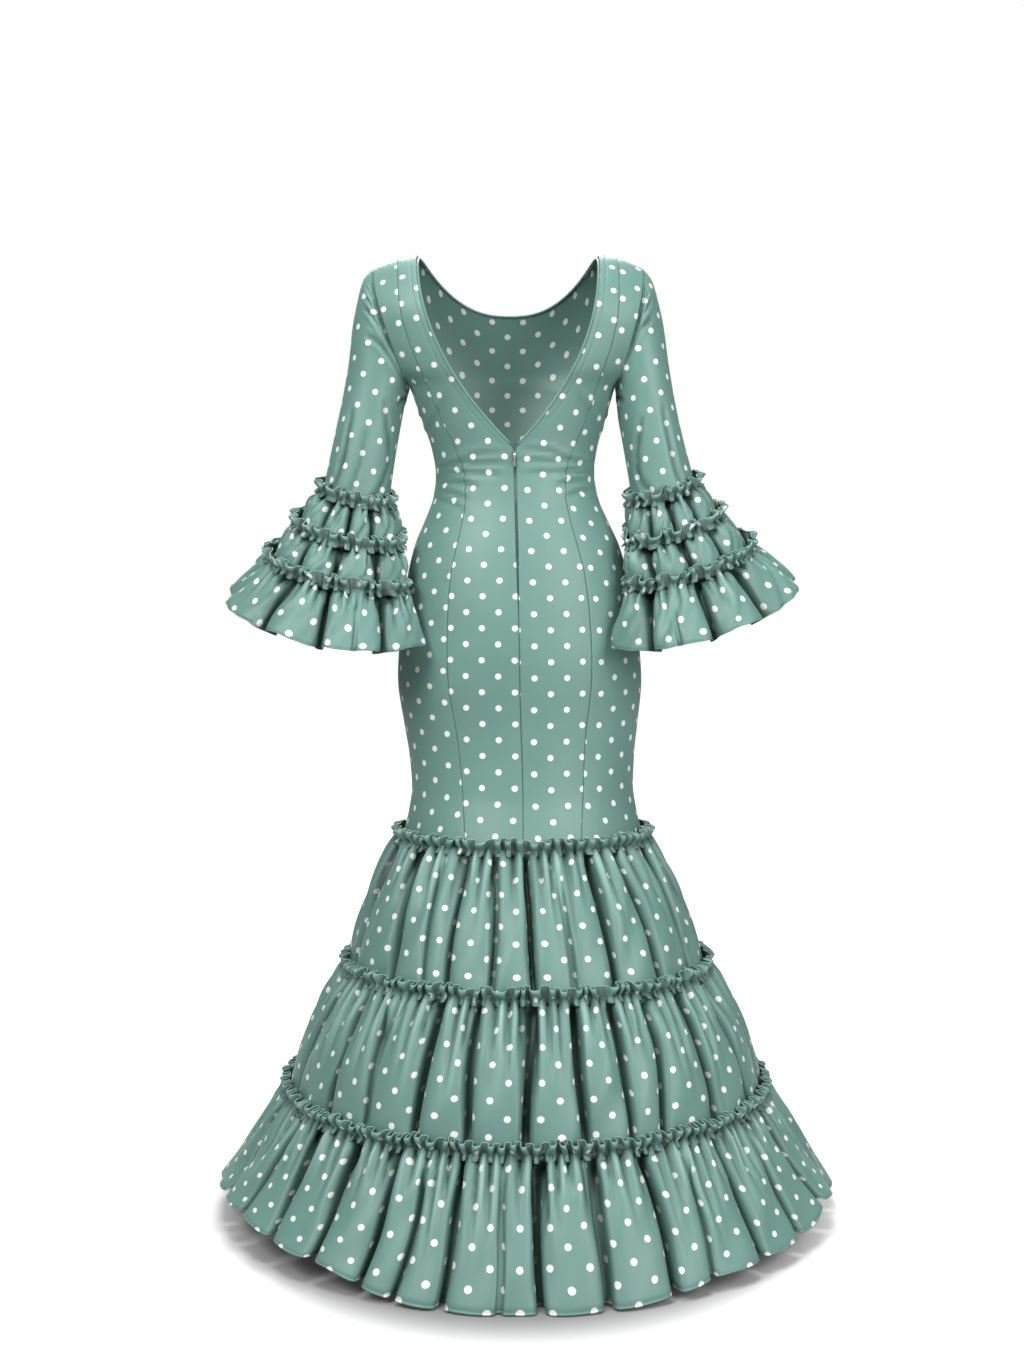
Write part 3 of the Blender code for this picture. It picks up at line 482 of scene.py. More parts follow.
def pull_relief(side, x, z):
    """How far the pull creases press a panel in or lift it."""
    relief = np.zeros(x.shape)
    for face, cross, height, length, tilt, width, depth in PULL_CREASES:
        if face != side:
            continue
        turn = math.radians(tilt)
        along = (x - cross) * math.cos(turn) + (z - height) * math.sin(turn)
        aside = (z - height) * math.cos(turn) - (x - cross) * math.sin(turn)
        aside = aside / width + PULL_BOW * (along / length) ** 2
        fade = np.exp(-((2 * along / length) ** 4))
        lip = PULL_LIP * np.exp(-((aside - PULL_LIP_AWAY) ** 2))
        relief -= PULL_PRESS * depth * fade * (np.exp(-(aside**2)) - lip)
    return relief


def laid_flat(points, across, middle):
    """The cut of a panel whose rows run level: its rows straight, and its grain upright."""
    step = np.diff(points[:, middle], axis=0)
    level_way = points[:-1, middle + 1] - points[:-1, middle - 1]
    level_way /= np.linalg.norm(level_way, axis=-1, keepdims=True)
    aside = (step * level_way).sum(axis=-1)
    fall = np.sqrt(np.clip((step**2).sum(axis=-1) - aside**2, 0, None))
    aside = np.concatenate([[0.0], np.cumsum(aside)])[:, None]
    fall = np.concatenate([[0.0], np.cumsum(fall)])[:, None]
    u = across - across[:, middle : middle + 1] + aside
    return np.stack([u, np.broadcast_to(-fall, u.shape)], -1)


def edge_shares(columns, width):
    """Shares across a panel, with columns close together beside its two seams."""
    near = np.array(EDGE_COLUMNS) / width
    middle = np.linspace(near[-1], 1 - near[-1], columns - 2 * len(near) + 2)
    return np.concatenate([near[:-1], middle, 1 - near[-2::-1]])


def sewn_panel(name, side, x, z, seams, topstitched=False):
    """A panel through a grid of places that runs away from the wearer's middle or to the left.

    seams says which of its first and last edge are turned in.
    """
    points = body_place(side, x, z)
    if (x[-1, -1] - x[-1, 0]) * side > 0:
        points, x, z, seams = points[:, ::-1], x[:, ::-1], z[:, ::-1], seams[::-1]
    normal = surface_normals(points)
    relief = pull_relief(side, x, z)
    across = run_lengths(points, 1)
    down = run_lengths(points, 0)
    # Painted shade along each turned-in seam, put into the satin's colour.
    shade = np.zeros(relief.shape)
    for turned, distance in zip(seams, (across, across[:, -1:] - across)):
        if turned:
            relief -= SEAM_DEPTH * np.clip(1 - distance / SEAM_TURN, 0, 1) ** 2
            shade = np.maximum(shade, SEAM_SHADE * np.clip(1 - distance / SEAM_TURN, 0, 1))
    if topstitched:
        slant = np.gradient(np.abs(x).min(axis=1), z[:, 0])[:, None]
        inset = (np.abs(x) - np.abs(x).min(axis=1, keepdims=True)) / np.sqrt(1 + slant**2)
        on_neck = z > -BACK_NECK_DEPTH
        groove = np.exp(-(((inset - TOPSTITCH_INSET) / TOPSTITCH_GROOVE) ** 2))
        relief -= TOPSTITCH_PRESS * groove * on_neck
    middle = across.shape[1] // 2
    cut = laid_flat(points, across, middle) + np.array(PATTERN_SHIFTS[name])
    flat = (across[:, -1].max(), down.max())
    area = float(np.trapz(across[:, -1], down[:, middle]))
    points = points + normal * relief[..., None]
    satin_piece(name, points, cut, shade, flat, "hung", joined=False, area=area)


polka = satin("polka_satin", dots=True)
panel_share = np.linspace(0, 1, PANEL_ROWS)
panel_share = (1 - ROW_SPREAD) * panel_share + ROW_SPREAD * panel_share**2
level = BODY_BOTTOM * panel_share[:, None]
half = body_half(level)
back_inner = np.maximum(back_neck(level), zip_edge(level))
# Each panel of the wearer's left and right: its face, its edges, its columns and usual width.
for name, side, inner, outer, columns, width, seams, topstitched in (
    ("back", BACK, back_inner, back_seam(level) - SEAM / 2, 34, 0.095, (True, True), True),
    ("side_back", BACK, back_seam(level) + SEAM / 2, armhole(level), 26, 0.075, (True, True), False),
    ("side_front", FRONT, front_seam(level) + SEAM / 2, armhole(level), 26, 0.075, (True, True), False),
):
    start = np.arccos(np.clip(inner / half, -1, 1))
    end = np.arccos(np.clip(outer / half, -1, 1))
    x = half * np.cos(start + (end - start) * edge_shares(columns, width))
    for hand, where in ((1, "left"), (-1, "right")):
        sewn_panel(f"{name}_{where}", side, hand * x, on_level(level, x), seams, topstitched)

share = 2 * edge_shares(FRONT_COLUMNS, FRONT_WIDTH) - 1
seam = front_seam(level) - SEAM / 2
lowered = front_scoop(share * front_seam(0.0)) * np.maximum(0.0, 1 + level / ARMHOLE_DEPTH)
x = share * seam
sewn_panel("front", FRONT, x, on_level(level, x) - lowered, (True, True))


# ---- Skirt ruffles -------------------------------------------------------
# Three gathered tiers of the same satin hang one below the other from the knee down. Each
# is gathered finely into its stitch line, falls in broad, nearly flat lobes with narrow deep
# creases between them, and ends under the next tier's heading or in a thin rolled hem.

SKIRT_COLUMNS = ("height", "half_width", "back", "front", "sway", "side_lift")
SKIRT_ROWS = (
    (-0.887, 0.1850, 0.159, 0.147, -0.0120, 0.000),
    (-1.074, 0.2610, 0.268, 0.256, -0.0180, -0.006),
    (-1.261, 0.3465, 0.358, 0.348, -0.0165, 0.000),
    (-1.437, 0.4230, 0.433, 0.422, -0.0170, 0.022),
)
FLARE_CURVE = 0.82  # under 1, so that a tier swells out just below its stitch line
CLOTH = 0.0020
SKIRT_SEAT = -0.0006
SKIRT_STEP = -0.0006  # from the foot of a tier's lobes out to the next tier's stitch line
# How far the lobes of each tier stand out at its top, middle and bottom.
SKIRT_REACH = ((0.003, 0.016, 0.011), (0.003, 0.019, 0.012), (0.004, 0.024, 0.042))

# Deep creases of each tier, from the wearer's left over the back: the angle at the top and at
# the bottom in degrees, how deep it is of a whole crease, and how far down it starts if it
# doesn't start at the stitch line.
SKIRT_CREASES = (
    (
        (-7, -9, 0.8), (17, 15, 0.55), (41, 42, 1.0), (55, 57, 0.35, 0.1), (64, 64, 0.9),
        (79, 79, 0.65), (92, 92, 1.0), (104, 104, 0.35, 0.1), (118, 119, 1.0), (135, 137, 0.9),
        (153, 155, 0.55), (169, 172, 0.85), (190, 188, 0.9), (207, 206, 0.5, 0.1), (222, 221, 0.9),
        (241, 240, 1.0), (254, 255, 0.4, 0.1), (268, 267, 0.9), (281, 282, 0.6), (297, 298, 1.0),
        (313, 312, 0.4, 0.1), (326, 326, 0.9), (340, 339, 0.7),
    ),
    (
        (-5, -6, 0.9), (18, 17, 0.65), (36, 37, 0.85), (49, 50, 0.45, 0.1), (64, 64, 1.0),
        (76, 76, 0.85), (90, 90, 1.0), (103, 103, 0.85), (114, 114, 0.75), (127, 122, 0.8),
        (140, 139, 0.85), (155, 157, 0.6), (170, 171, 0.9), (186, 187, 0.7), (201, 200, 0.9),
        (214, 215, 0.5, 0.1), (228, 227, 1.0), (243, 244, 0.8), (257, 257, 0.9), (271, 270, 1.0),
        (284, 285, 0.7), (297, 296, 0.9), (312, 313, 0.5, 0.1), (325, 324, 1.0), (335, 335, 0.75),
        (346, 345, 0.5, 0.1),
    ),
    (
        (-3, -4, 0.9), (14, 17, 0.8), (27, 28, 0.95), (38, 39, 0.8), (50, 50, 1.0), (62, 61, 0.95),
        (70, 67, 0.6, 0.1), (77, 75, 0.85), (86, 85, 0.22, 0.1), (92, 92, 1.0), (104, 103, 0.75),
        (116, 116, 1.0), (125, 123, 0.45, 0.1), (135, 135, 1.0), (148, 146, 0.75), (157, 159, 0.8),
        (170, 171, 0.9), (182, 183, 0.8), (194, 193, 0.6, 0.1), (206, 207, 0.95), (219, 218, 0.8),
        (230, 231, 0.9), (241, 242, 0.6, 0.1), (252, 251, 1.0), (264, 265, 0.8), (276, 276, 0.95),
        (288, 287, 0.6, 0.1), (299, 300, 0.9), (311, 311, 1.0), (323, 322, 0.7), (333, 333, 0.95),
        (344, 344, 0.75),
    ),
)
CREASE_DEPTHS = ((0.040, 0.036), (0.042, 0.038), (0.040, 0.036))  # near the top and at the foot
CREASE_WANDER = 0.007  # how far creases swing to each side on their way down, in radians
CREASE_ONSET = 0.12  # share of the tier over which a crease deepens
LATE_ONSET = 1.2  # how much longer that is for one that starts lower
CREASE_AT_STITCHES = 0.25  # share of its depth that a crease has at the stitch line
# Half a lobe in section, out from the middle of a crease: how far across it is at the top of
# the tier, where creases gape, and at its foot, as shares of the lobe, and how high there.
LOBE_ROWS = (
    (0.000, 0.000, 0.00),
    (0.082, 0.042, 0.03),
    (0.122, 0.068, 0.16),
    (0.136, 0.066, 0.38),
    (0.150, 0.056, 0.60),
    (0.180, 0.066, 0.81),
    (0.240, 0.118, 0.925),
    (0.352, 0.262, 0.985),
    (0.500, 0.500, 1.00),
)
# How the columns of a half lobe are shared out between those rows.
LOBE_STATIONS = (0, 0.032, 0.058, 0.084, 0.110, 0.140, 0.190, 0.300, 0.500)
WIDEST_LOBE = 0.115  # past this width, creases get no wider
CREASE_CLOSING = 0.45  # share of the tier over which creases close
GAPE_HASTE = 0.7  # how much sooner wide creases close
WIDEST_GAPE = 2.8
LOBE_STEP = 0.03  # the least share of a lobe between two of its rows
FEWEST_COLUMNS = 12  # of a lobe
LOBE_ONSET = 0.06  # share of the tier over which lobes stand out
FOOT_START = 0.86  # where a tier's creases get shallower over the next stitch line
FOOT_FLATTER = 0.55
FOOT_IN = 0.0012  # how far the foot of a tier is drawn in
SLACK_SWELL = 0.0018  # low swells of the lobes' faces
SWELL_SLANT = 0.4
SKIRT_PUFF = 0.05
SKIRT_GAPE = 1.0
GATHER_PITCH = 0.0170
GATHER_LIFT = 0.0082
GATHER_WANDER = 1.2  # how uneven the gathers' spacing is, in radians of one
GATHER_SLANT = 1.6
GATHER_LENGTHS = (0.20, 0.11)  # the shortest, and how much the others differ, as shares of the tier
GATHER_ROUND = 0.62  # under 1, so that gathers are round on top and sharp between
GATHER_FLOOR = 1.3
LONG_GATHERS = 0.30  # height of the few long gathers, as a share of the others'
LONG_GATHER_PITCH = 0.37
LONG_GATHER_LENGTH = 0.55
SHORTEST_GATHER = 0.06
PLAIN_ENDS = 0.05  # how far from a tier's sewn ends it has no gathers, in radians
TIER_ROWS_COUNT = 36
ROW_CROWDING = 1.25  # over 1, so that rows lie closer together near the stitch line
HEM_START = 0.972
HEM_ROWS = (0.975, 0.981, 0.986, 0.992, 1.0)  # shares down a tier at its rolled hem
HEM_SEWN = HEM_ROWS[1]
HEM_GROOVE = 0.0009
GROOVE_REACH = 0.004
HEM_EDGE = 0.6  # how far the hem's edge turns in, as a share of its groove's depth
COLUMNS_PER_GATHER = 7
# Where the skirt's hem hangs higher than its ring: the angle in degrees, how far that reaches
# to each side, and how much.
HEM_LIFTS = (
    (12, 13, 0.023), (32, 13, 0.026), (52, 11, 0.021), (127, 12, 0.015), (148, 12, 0.012),
    (162, 8, 0.020), (210, 40, 0.010), (325, 40, 0.010),
)
SKIRT_HEM = (0.0, 0.0, HEM_LIFTS)  # no dips or waves of its own
# Painted shade and painted highlight put into the tiers' colour.
CREASE_PAINTED_SHADE = 0.85
GATHER_PAINTED_SHADE = 0.95
STITCHES_PAINTED_SHADOW = 0.8
STITCHES_REACH = 0.009  # how far the shade of a stitch line reaches down
RIDGE_PAINTED_HIGHLIGHT = 0.95
RIDGE_FROM = 0.52  # height of a gather over which it catches the light
RIDGE_SPAN = 0.16
DOT_LEVEL = 0.62  # the share of a tier's rows at which its dots are evenly spaced
DOT_SHIFT = (0.017, 0.013)  # how far each tier's cut is moved over the printed cloth


def ripple(turn, seed, waves):
    """Hand-like unevenness round a ring, about -1 to 1, that closes on itself."""
    total = 0.0
    for number, wave in enumerate(waves):
        total = total + np.sin(wave * turn + seed * (2.1 + 1.3 * number) + number)
    return total / math.sqrt(len(waves))


def ring_between(upper, lower, share, flare=None):
    """The sizes of the ring part of the way between two rings, for a whole grid of shares."""
    flare = share**FLARE_CURVE if flare is None else flare
    place = {}
    for name, first in upper.items():
        part = flare if name in ("across", "back", "front") else share
        last = lower[name]
        if np.ndim(first):
            place[name] = first + (last - first) * part[..., None]
        else:
            place[name] = first + (last - first) * part
    return place


def ring_points(ring, angle, outwards):
    """Points round rings, at angles from the wearer's left over the back, moved out of them."""
    back, drop = ring["back"], ring["drop"]
    sine, cosine = np.sin(angle)[..., None], np.cos(angle)[..., None]
    across = ring["across"]
    aside = across / np.linalg.norm(across, axis=-1, keepdims=True)
    slope = np.stack([0 * back, 1 + 0 * back, -drop / back], -1)
    out = aside * cosine + slope * sine
    depth = np.where(np.sin(angle) > 0, back, ring["front"])
    zero = np.zeros(np.broadcast_shapes(depth.shape, drop.shape))
    backward = np.stack([zero, zero + depth, zero - drop], -1)
    spoke = across * cosine + backward * sine
    spoke = spoke + np.array([0, 0, 1]) * (ring["lift"] * np.cos(angle) ** 2)[..., None]
    if np.any(ring["reach"]):
        reach = ring["reach"][..., None]
        longest = spoke + out * reach
        spoke = longest * hip_share(ring["middle"], longest)[..., None] - out * reach
    return ring["middle"] + spoke + out * np.asarray(outwards)[..., None]


def skirt_ring(row):
    size = dict(zip(SKIRT_COLUMNS, row))
    return {
        "middle": np.array([size["sway"], 0, size["height"]]),
        "across": np.array([size["half_width"], 0, 0]),
        "back": size["back"],
        "front": size["front"],
        "lift": size["side_lift"],
        "drop": 0.0,
        "reach": 0.0,
    }


def lobes(creases, down, columns, girth, puff, gape):
    """Angles round a tier and the share of its lobes' depth there, from its table of creases.

    down is a column of shares down the tier, and girth its length round at each of them.
    puff is how far a lobe's sides fall away from its middle, and gape how wide creases are.
    """
    table = np.array([(*crease, 0.0)[:4] for crease in creases])
    top, bottom = np.radians(table[:, 0]), np.radians(table[:, 1])
    place = top + (bottom - top) * down + CREASE_WANDER * np.sin(down * 5 + top * 40)
    later = table[:, 3]
    deeper = (down - later) / (CREASE_ONSET + LATE_ONSET * later)
    strength = table[:, 2] * np.clip(deeper + CREASE_AT_STITCHES * (later == 0), 0, 1)
    place = np.concatenate([place, place[:, :1] + 2 * math.pi], 1)
    strength = np.concatenate([strength, strength[:, :1]], 1)
    width = np.diff((top + bottom) / 2, append=(top + bottom)[0] / 2 + 2 * math.pi)
    counts = np.maximum(FEWEST_COLUMNS, np.rint(columns * width / width.sum()).astype(int))
    radius = girth / (2 * math.pi)
    gaping, closed, heights = (np.array(column) for column in zip(*LOBE_ROWS))
    station = np.array(LOBE_STATIONS)
    open_share = gape * np.exp(-down * gape**GAPE_HASTE / CREASE_CLOSING)
    section = closed + (gaping - closed) * np.minimum(open_share, WIDEST_GAPE)
    section = np.minimum(section, 0.5 - LOBE_STEP * np.arange(len(heights))[::-1])
    angles, levels = [], []
    for i, count in enumerate(counts):
        share = np.arange(count) / count
        near = np.minimum(share, 1 - share)
        index = np.clip(np.searchsorted(station, near, side="right") - 1, 0, len(station) - 2)
        part = (near - station[index]) / (station[index + 1] - station[index])
        room = (place[:, i + 1 : i + 2] - place[:, i : i + 1]) * radius
        out = section * np.minimum(room, WIDEST_LOBE)
        out[:, -1:] = room / 2
        reached = out[:, index] + (out[:, index + 1] - out[:, index]) * part
        level = heights[index] + (heights[index + 1] - heights[index]) * part
        first_half = share < 0.5
        power = np.where(first_half, strength[:, i : i + 1], strength[:, i + 1 : i + 2])
        angles.append(place[:, i : i + 1] + np.where(first_half, reached, room - reached) / radius)
        levels.append((1 - power * (1 - level)) * (1 - puff * power * (2 * share - 1) ** 2))
    angle = np.concatenate(angles + [place[:, -1:]], 1)
    height = np.concatenate(levels + [levels[0][:, :1]], 1)
    return angle, height


def ring_girth(ring):
    """Length round a ring, by its half axes."""
    half = np.linalg.norm(ring["across"], axis=-1)
    depth = (ring["back"] + ring["front"]) / 2
    return math.pi * (3 * (half + depth) - np.sqrt((3 * half + depth) * (half + 3 * depth)))


def gathers(down, angle, turn, count, seed):
    """Fine gathers below a stitch line: how each rises, how it fades, and the few long ones."""
    phase = count * angle + GATHER_WANDER * ripple(angle, seed + 1, (11, 17, 31))
    phase = phase + GATHER_SLANT * down * np.sin(9 * turn + seed)
    shortest, longer = GATHER_LENGTHS
    long = shortest + longer * (1 + ripple(turn, seed + 2, (count // 4 + 1, count // 3 + 2, 7)))
    fade = np.exp(-((down / np.maximum(long, SHORTEST_GATHER)) ** 2))
    pleat = 2 * np.abs(np.cos(phase / 2)) ** GATHER_ROUND - GATHER_FLOOR
    long_fade = np.exp(-((down / LONG_GATHER_LENGTH) ** 2)) * np.minimum(down / 0.1, 1)
    return pleat, fade, LONG_GATHERS * np.sin(LONG_GATHER_PITCH * phase + seed) * long_fade


def gathered_tier(name, rings, reach, under, creases, lobe, seed, rows, pitch, hem=None):
    """One tier of a skirt or sleeve, from its stitch line to just past the next, or to its hem.

    lobe is the depth of its creases near the top and at the foot, how far its lobes' sides
    fall away from their middle, and how wide its creases gape at the top. hem is how far the
    hem dips in the creases, how much it waves, and where it lifts.
    """
    (depth, foot_depth), puff, gape = lobe
    down = np.linspace(0, 1, rows) ** ROW_CROWDING
    if hem:
        down = np.concatenate([down[:-1] * HEM_START, HEM_ROWS])
    down = down[:, None]
    ring = ring_between(*rings, down)
    girth = ring_girth(ring)
    angle, height = lobes(
        creases, down, int(COLUMNS_PER_GATHER * girth.min() / pitch), girth, puff, gape
    )
    top, middle, bottom = reach
    bulge = 2 * middle - (top + bottom) / 2
    crest = top * (1 - down) ** 2 + 2 * bulge * down * (1 - down) + bottom * down**2
    fall = (depth + (foot_depth - depth) * down) * (1 - np.exp(-down / LOBE_ONSET))
    if not hem:
        fall *= 1 - FOOT_FLATTER * np.clip((down - FOOT_START) / (1 - FOOT_START), 0, 1) ** 2
    swell = SLACK_SWELL * ripple(angle + SWELL_SLANT * down, seed, (13, 22, 31))
    swell = swell * height * np.minimum(down * 4, 1)
    outwards = under * (1 - down) + crest - fall * (1 - height) + swell - FOOT_IN * down
    points = ring_points(ring, angle, outwards)
    if hem:
        dip, wave, lifts = hem
        for place, width, lift in lifts:
            away = (np.degrees(angle) - place + 180) % 360 - 180
            points[..., 2] += lift * np.exp(-((away / width) ** 2)) * down**3
        points[..., 2] -= dip * (1 - height) * down**4
        points[..., 2] += wave * ripple(angle, seed + 9, (5, 9, 14)) * down**3
    normal = surface_normals(points)
    length_down = float(run_lengths(points, 0)[-1].mean())

    turn = np.linspace(0, 2 * math.pi, angle.shape[1])[None, :]
    count = int(girth.min() / pitch)
    pleat, fade, long_pleat = gathers(down, angle, turn, count, seed)
    relief = GATHER_LIFT * pitch / GATHER_PITCH * (fade * pleat + long_pleat)
    if hem:
        relief = relief - HEM_GROOVE * np.exp(-(((down - HEM_SEWN) / GROOVE_REACH) ** 2))
        relief = relief - HEM_EDGE * HEM_GROOVE * (down == 1)
    closing = np.clip(np.minimum(turn, 2 * math.pi - turn) / PLAIN_ENDS, 0, 1)
    points = points + normal * (relief * closing)[..., None]
    points[:, -1] = points[:, 0]

    # The cut is a straight strip, and its dots come out whole where its ends are sewn.
    along = run_lengths(points, 1)
    length = run_lengths(points, 0).mean(axis=1)
    widest = along[int(DOT_LEVEL * rows)]
    repeats = max(1, round(widest[-1] / DOT_PITCH[0]))
    u = widest * repeats * DOT_PITCH[0] / widest[-1] + DOT_SHIFT[0] * seed
    cut = np.stack(np.broadcast_arrays(u[None, :], DOT_SHIFT[1] * seed - length[:, None]), -1)

    # Painted shade in creases, between gathers and under the stitch line, and a painted highlight on
    # ridges.
    shade = CREASE_PAINTED_SHADE * (1 - height) ** 0.8 * np.minimum(down / 0.04, 1)
    shade = shade + GATHER_PAINTED_SHADE * fade * np.clip(-pleat, 0, 1) * closing
    ridge = np.clip((pleat - RIDGE_FROM) / RIDGE_SPAN, 0, 1) * np.minimum(down / 0.05, 1)
    ridge = ridge * np.clip(0.6 + 0.7 * ripple(turn, seed + 4, (count // 3, count // 5 + 1)), 0, 1)
    shade = shade - RIDGE_PAINTED_HIGHLIGHT * fade * ridge * closing
    shade = shade + STITCHES_PAINTED_SHADOW * np.exp(-((down * length_down / STITCHES_REACH) ** 2))
    flat = (along[:, -1].mean(), length[-1])
    satin_piece(name, points, cut, np.clip(shade, -1, 1), flat, "gathered")
    return points


skirt_rings = [skirt_ring(row) for row in SKIRT_ROWS]
# How far each ring's stitch line stands out: on the body's foot, or on the tier above it.
skirt_seats = [CLOTH + SKIRT_SEAT] + [reach[2] + SKIRT_STEP for reach in SKIRT_REACH]
tier_hems = {}
for number, creases in enumerate(SKIRT_CREASES, start=1):
    hem = SKIRT_HEM if number == len(SKIRT_CREASES) else None
    tier = gathered_tier(
        f"skirt_tier_{number}", skirt_rings[number - 1 : number + 1], SKIRT_REACH[number - 1],
        skirt_seats[number - 1], creases, (CREASE_DEPTHS[number - 1], SKIRT_PUFF, SKIRT_GAPE),
        1.7 * number, TIER_ROWS_COUNT, GATHER_PITCH, hem,
    )
tier_hems["skirt_hem"] = tier




# ---- Skirt headings ------------------------------------------------------
# Over each tier's stitch line stands a narrow frill of the same satin. It is gathered so
# tightly along its foot that it stands in little loops, like petals, that curl outwards.

FRILL = 0.0140
# The frill from its top edge down: height over the stitch line, swing of the loops, how far
# their middle stands out from the cloth under them, and how far each loop overhangs.
FRILL_ROWS = (
    (0.0160, 0.0046, 0.0048, 0.84),
    (0.0149, 0.0052, 0.0056, 0.86),
    (0.0116, 0.0056, 0.0066, 0.76),
    (0.0074, 0.0046, 0.0062, 0.52),
    (0.0034, 0.0028, 0.0052, 0.28),
    (0.0002, 0.0010, 0.0044, 0.10),
    (-0.0028, 0.0026, 0.0066, 0.30),
    (-0.0060, 0.0038, 0.0086, 0.45),
)
LOOP_PITCH = 0.0160
SKIRT_FRILL = 1.12  # how much bigger the skirt's headings are than these rows
COLUMNS_PER_LOOP = 13
LOOP_WANDER = 1.5
LOOP_UNEVEN = 0.26
LOOP_LEAN = 0.0040
LOOP_CURL = 0.0020
LOOP_SAG = 0.0016
LOOP_RISE = (0.0010, 0.0012)  # how much loops rise and sink at their foot, and more at the top
FRILL_DOT_SHIFT = (0.023, 0.019)
# Painted shade and painted highlight put into the frills' colour.
LOOP_PAINTED_SHADE = 0.95
PAINTED_SHADE_TOP_FADE = 0.30
STITCH_PAINTED_SHADE = 0.25
SEWN_HEIGHT = 0.002  # under this the frill is sewn down
FOLD_FROM = 0.52  # a loop's swing under which its cloth is in the fold's shade
FOLD_RATE = 0.62
TOP_EDGE_PAINTED_HIGHLIGHT = 0.9


def frill(name, ring, under, pitch, seed, size):
    """The ruched heading over a stitch line, as one long strip in loops."""
    ring = ring_between(ring, ring, np.zeros((1, 1)))
    girth = float(ring_girth(ring).max())
    loops = int(girth / pitch)
    turn = np.linspace(0, 2 * math.pi, loops * COLUMNS_PER_LOOP + 1)[None, :]
    third, half_way, near = loops // 3 + 1, loops // 2 + 3, loops // 5 + 2
    phase = loops * turn + LOOP_WANDER * ripple(turn, seed, (third, near, 7))
    height, swing, stand, overhang = (np.array(FRILL_ROWS)[:, i : i + 1] for i in range(4))
    uneven = 1 + LOOP_UNEVEN * ripple(turn, seed + 1, (half_way, third + 4, 11))
    loop = np.sin(phase) * uneven
    tall = np.clip(height / FRILL, 0, 1)
    aside = -overhang * pitch / (2 * math.pi) * np.sin(2 * phase) * (0.8 + 0.2 * uneven)
    aside = aside + LOOP_LEAN * tall * ripple(turn, seed + 2, (near + 3, third + 1))
    curl = LOOP_CURL * tall**2 * np.clip(loop, 0, None)
    outwards = under + size * (stand + swing * loop) + curl
    points = ring_points(ring, turn + aside * 2 * math.pi / girth, outwards)
    lifted = size * height - LOOP_SAG * tall**2 * (1 + loop)
    rise = LOOP_RISE[0] + LOOP_RISE[1] * tall
    points[..., 2] += lifted + rise * ripple(turn, seed + 3, (near + 4, third + 2, 13))
    points[:, -1] = points[:, 0]
    along = run_lengths(points, 1)
    length = run_lengths(points, 0).mean(axis=1)
    u, v = FRILL_DOT_SHIFT[0] * seed, FRILL_DOT_SHIFT[1] * seed
    cut = np.stack(np.broadcast_arrays(along[:1] + u, v - length[:, None]), -1)
    # Painted shade in the loops' folds and at the stitches, less towards the top, and a painted
    # highlight along the top edge.
    shade = LOOP_PAINTED_SHADE * np.clip(FOLD_FROM - FOLD_RATE * loop, 0, 1) * (1 - PAINTED_SHADE_TOP_FADE * tall)
    shade = shade + STITCH_PAINTED_SHADE * (height < SEWN_HEIGHT)
    shade = np.where(height == height[0], -TOP_EDGE_PAINTED_HIGHLIGHT, shade)
    satin_piece(name, points, cut, shade, (along[:, -1].mean(), length[-1]), "gathered")


for number, (ring, seat) in enumerate(zip(skirt_rings[:-1], skirt_seats), start=1):
    frill(f"skirt_heading_{number}", ring, seat, LOOP_PITCH, 2.3 * number, SKIRT_FRILL)


# ---- Sleeves -------------------------------------------------------------
# Each sleeve is one piece of satin, set into the armhole with a few narrow tucks at the back
# of the shoulder. It runs close to the arm and ends under the first ruffle at the elbow.

SLEEVE_COLUMNS = ("outer_x", "outer_z", "inner_x", "inner_z", "half_depth", "middle_y", "drop")
LEFT_SLEEVE_ROWS = (
    (0.2170, -0.0220, 0.1615, -0.2045, 0.060, 0.000, 0.000),
    (0.2320, -0.0390, 0.1630, -0.2110, 0.060, 0.000, 0.000),
    (0.2410, -0.0720, 0.1655, -0.2190, 0.059, 0.001, 0.000),
    (0.2485, -0.1130, 0.1685, -0.2300, 0.057, 0.002, 0.000),
    (0.2530, -0.1600, 0.1720, -0.2480, 0.055, 0.004, 0.000),
    (0.2620, -0.2150, 0.1765, -0.2750, 0.053, 0.008, 0.002),
    (0.2740, -0.2740, 0.1825, -0.3120, 0.052, 0.013, 0.005),
    (0.2870, -0.3380, 0.1890, -0.3600, 0.051, 0.018, 0.009),
    (0.2915, -0.3620, 0.1915, -0.3830, 0.051, 0.020, 0.010),
)
RIGHT_SLEEVE_ROWS = (
    (0.1960, -0.0220, 0.1535, -0.2045, 0.060, 0.000, 0.000),
    (0.2090, -0.0390, 0.1545, -0.2110, 0.060, 0.000, 0.000),
    (0.2190, -0.0720, 0.1550, -0.2200, 0.059, 0.001, 0.000),
    (0.2275, -0.1130, 0.1560, -0.2320, 0.057, 0.002, 0.000),
    (0.2335, -0.1600, 0.1575, -0.2500, 0.055, 0.004, 0.000),
    (0.2420, -0.2150, 0.1620, -0.2770, 0.053, 0.008, 0.002),
    (0.2540, -0.2740, 0.1680, -0.3130, 0.051, 0.013, 0.005),
    (0.2690, -0.3330, 0.1750, -0.3580, 0.050, 0.018, 0.009),
    (0.2735, -0.3530, 0.1770, -0.3790, 0.050, 0.020, 0.010),
)
SLEEVE_GAP = -0.0005  # as the seams, the sleeve laps the armhole
SLEEVE_REPEATS = 7  # rows of dots round a sleeve
CAP_ROWS = 4
TUCK_DEPTH = 1.6
TUCK_WAVER = 0.05
TUCK_STEPS = 28
TUCK_LIP = 0.45  # height of the raised cloth beside a crease, as a share of its depth
TUCK_LIP_AWAY = 2.0  # in half widths
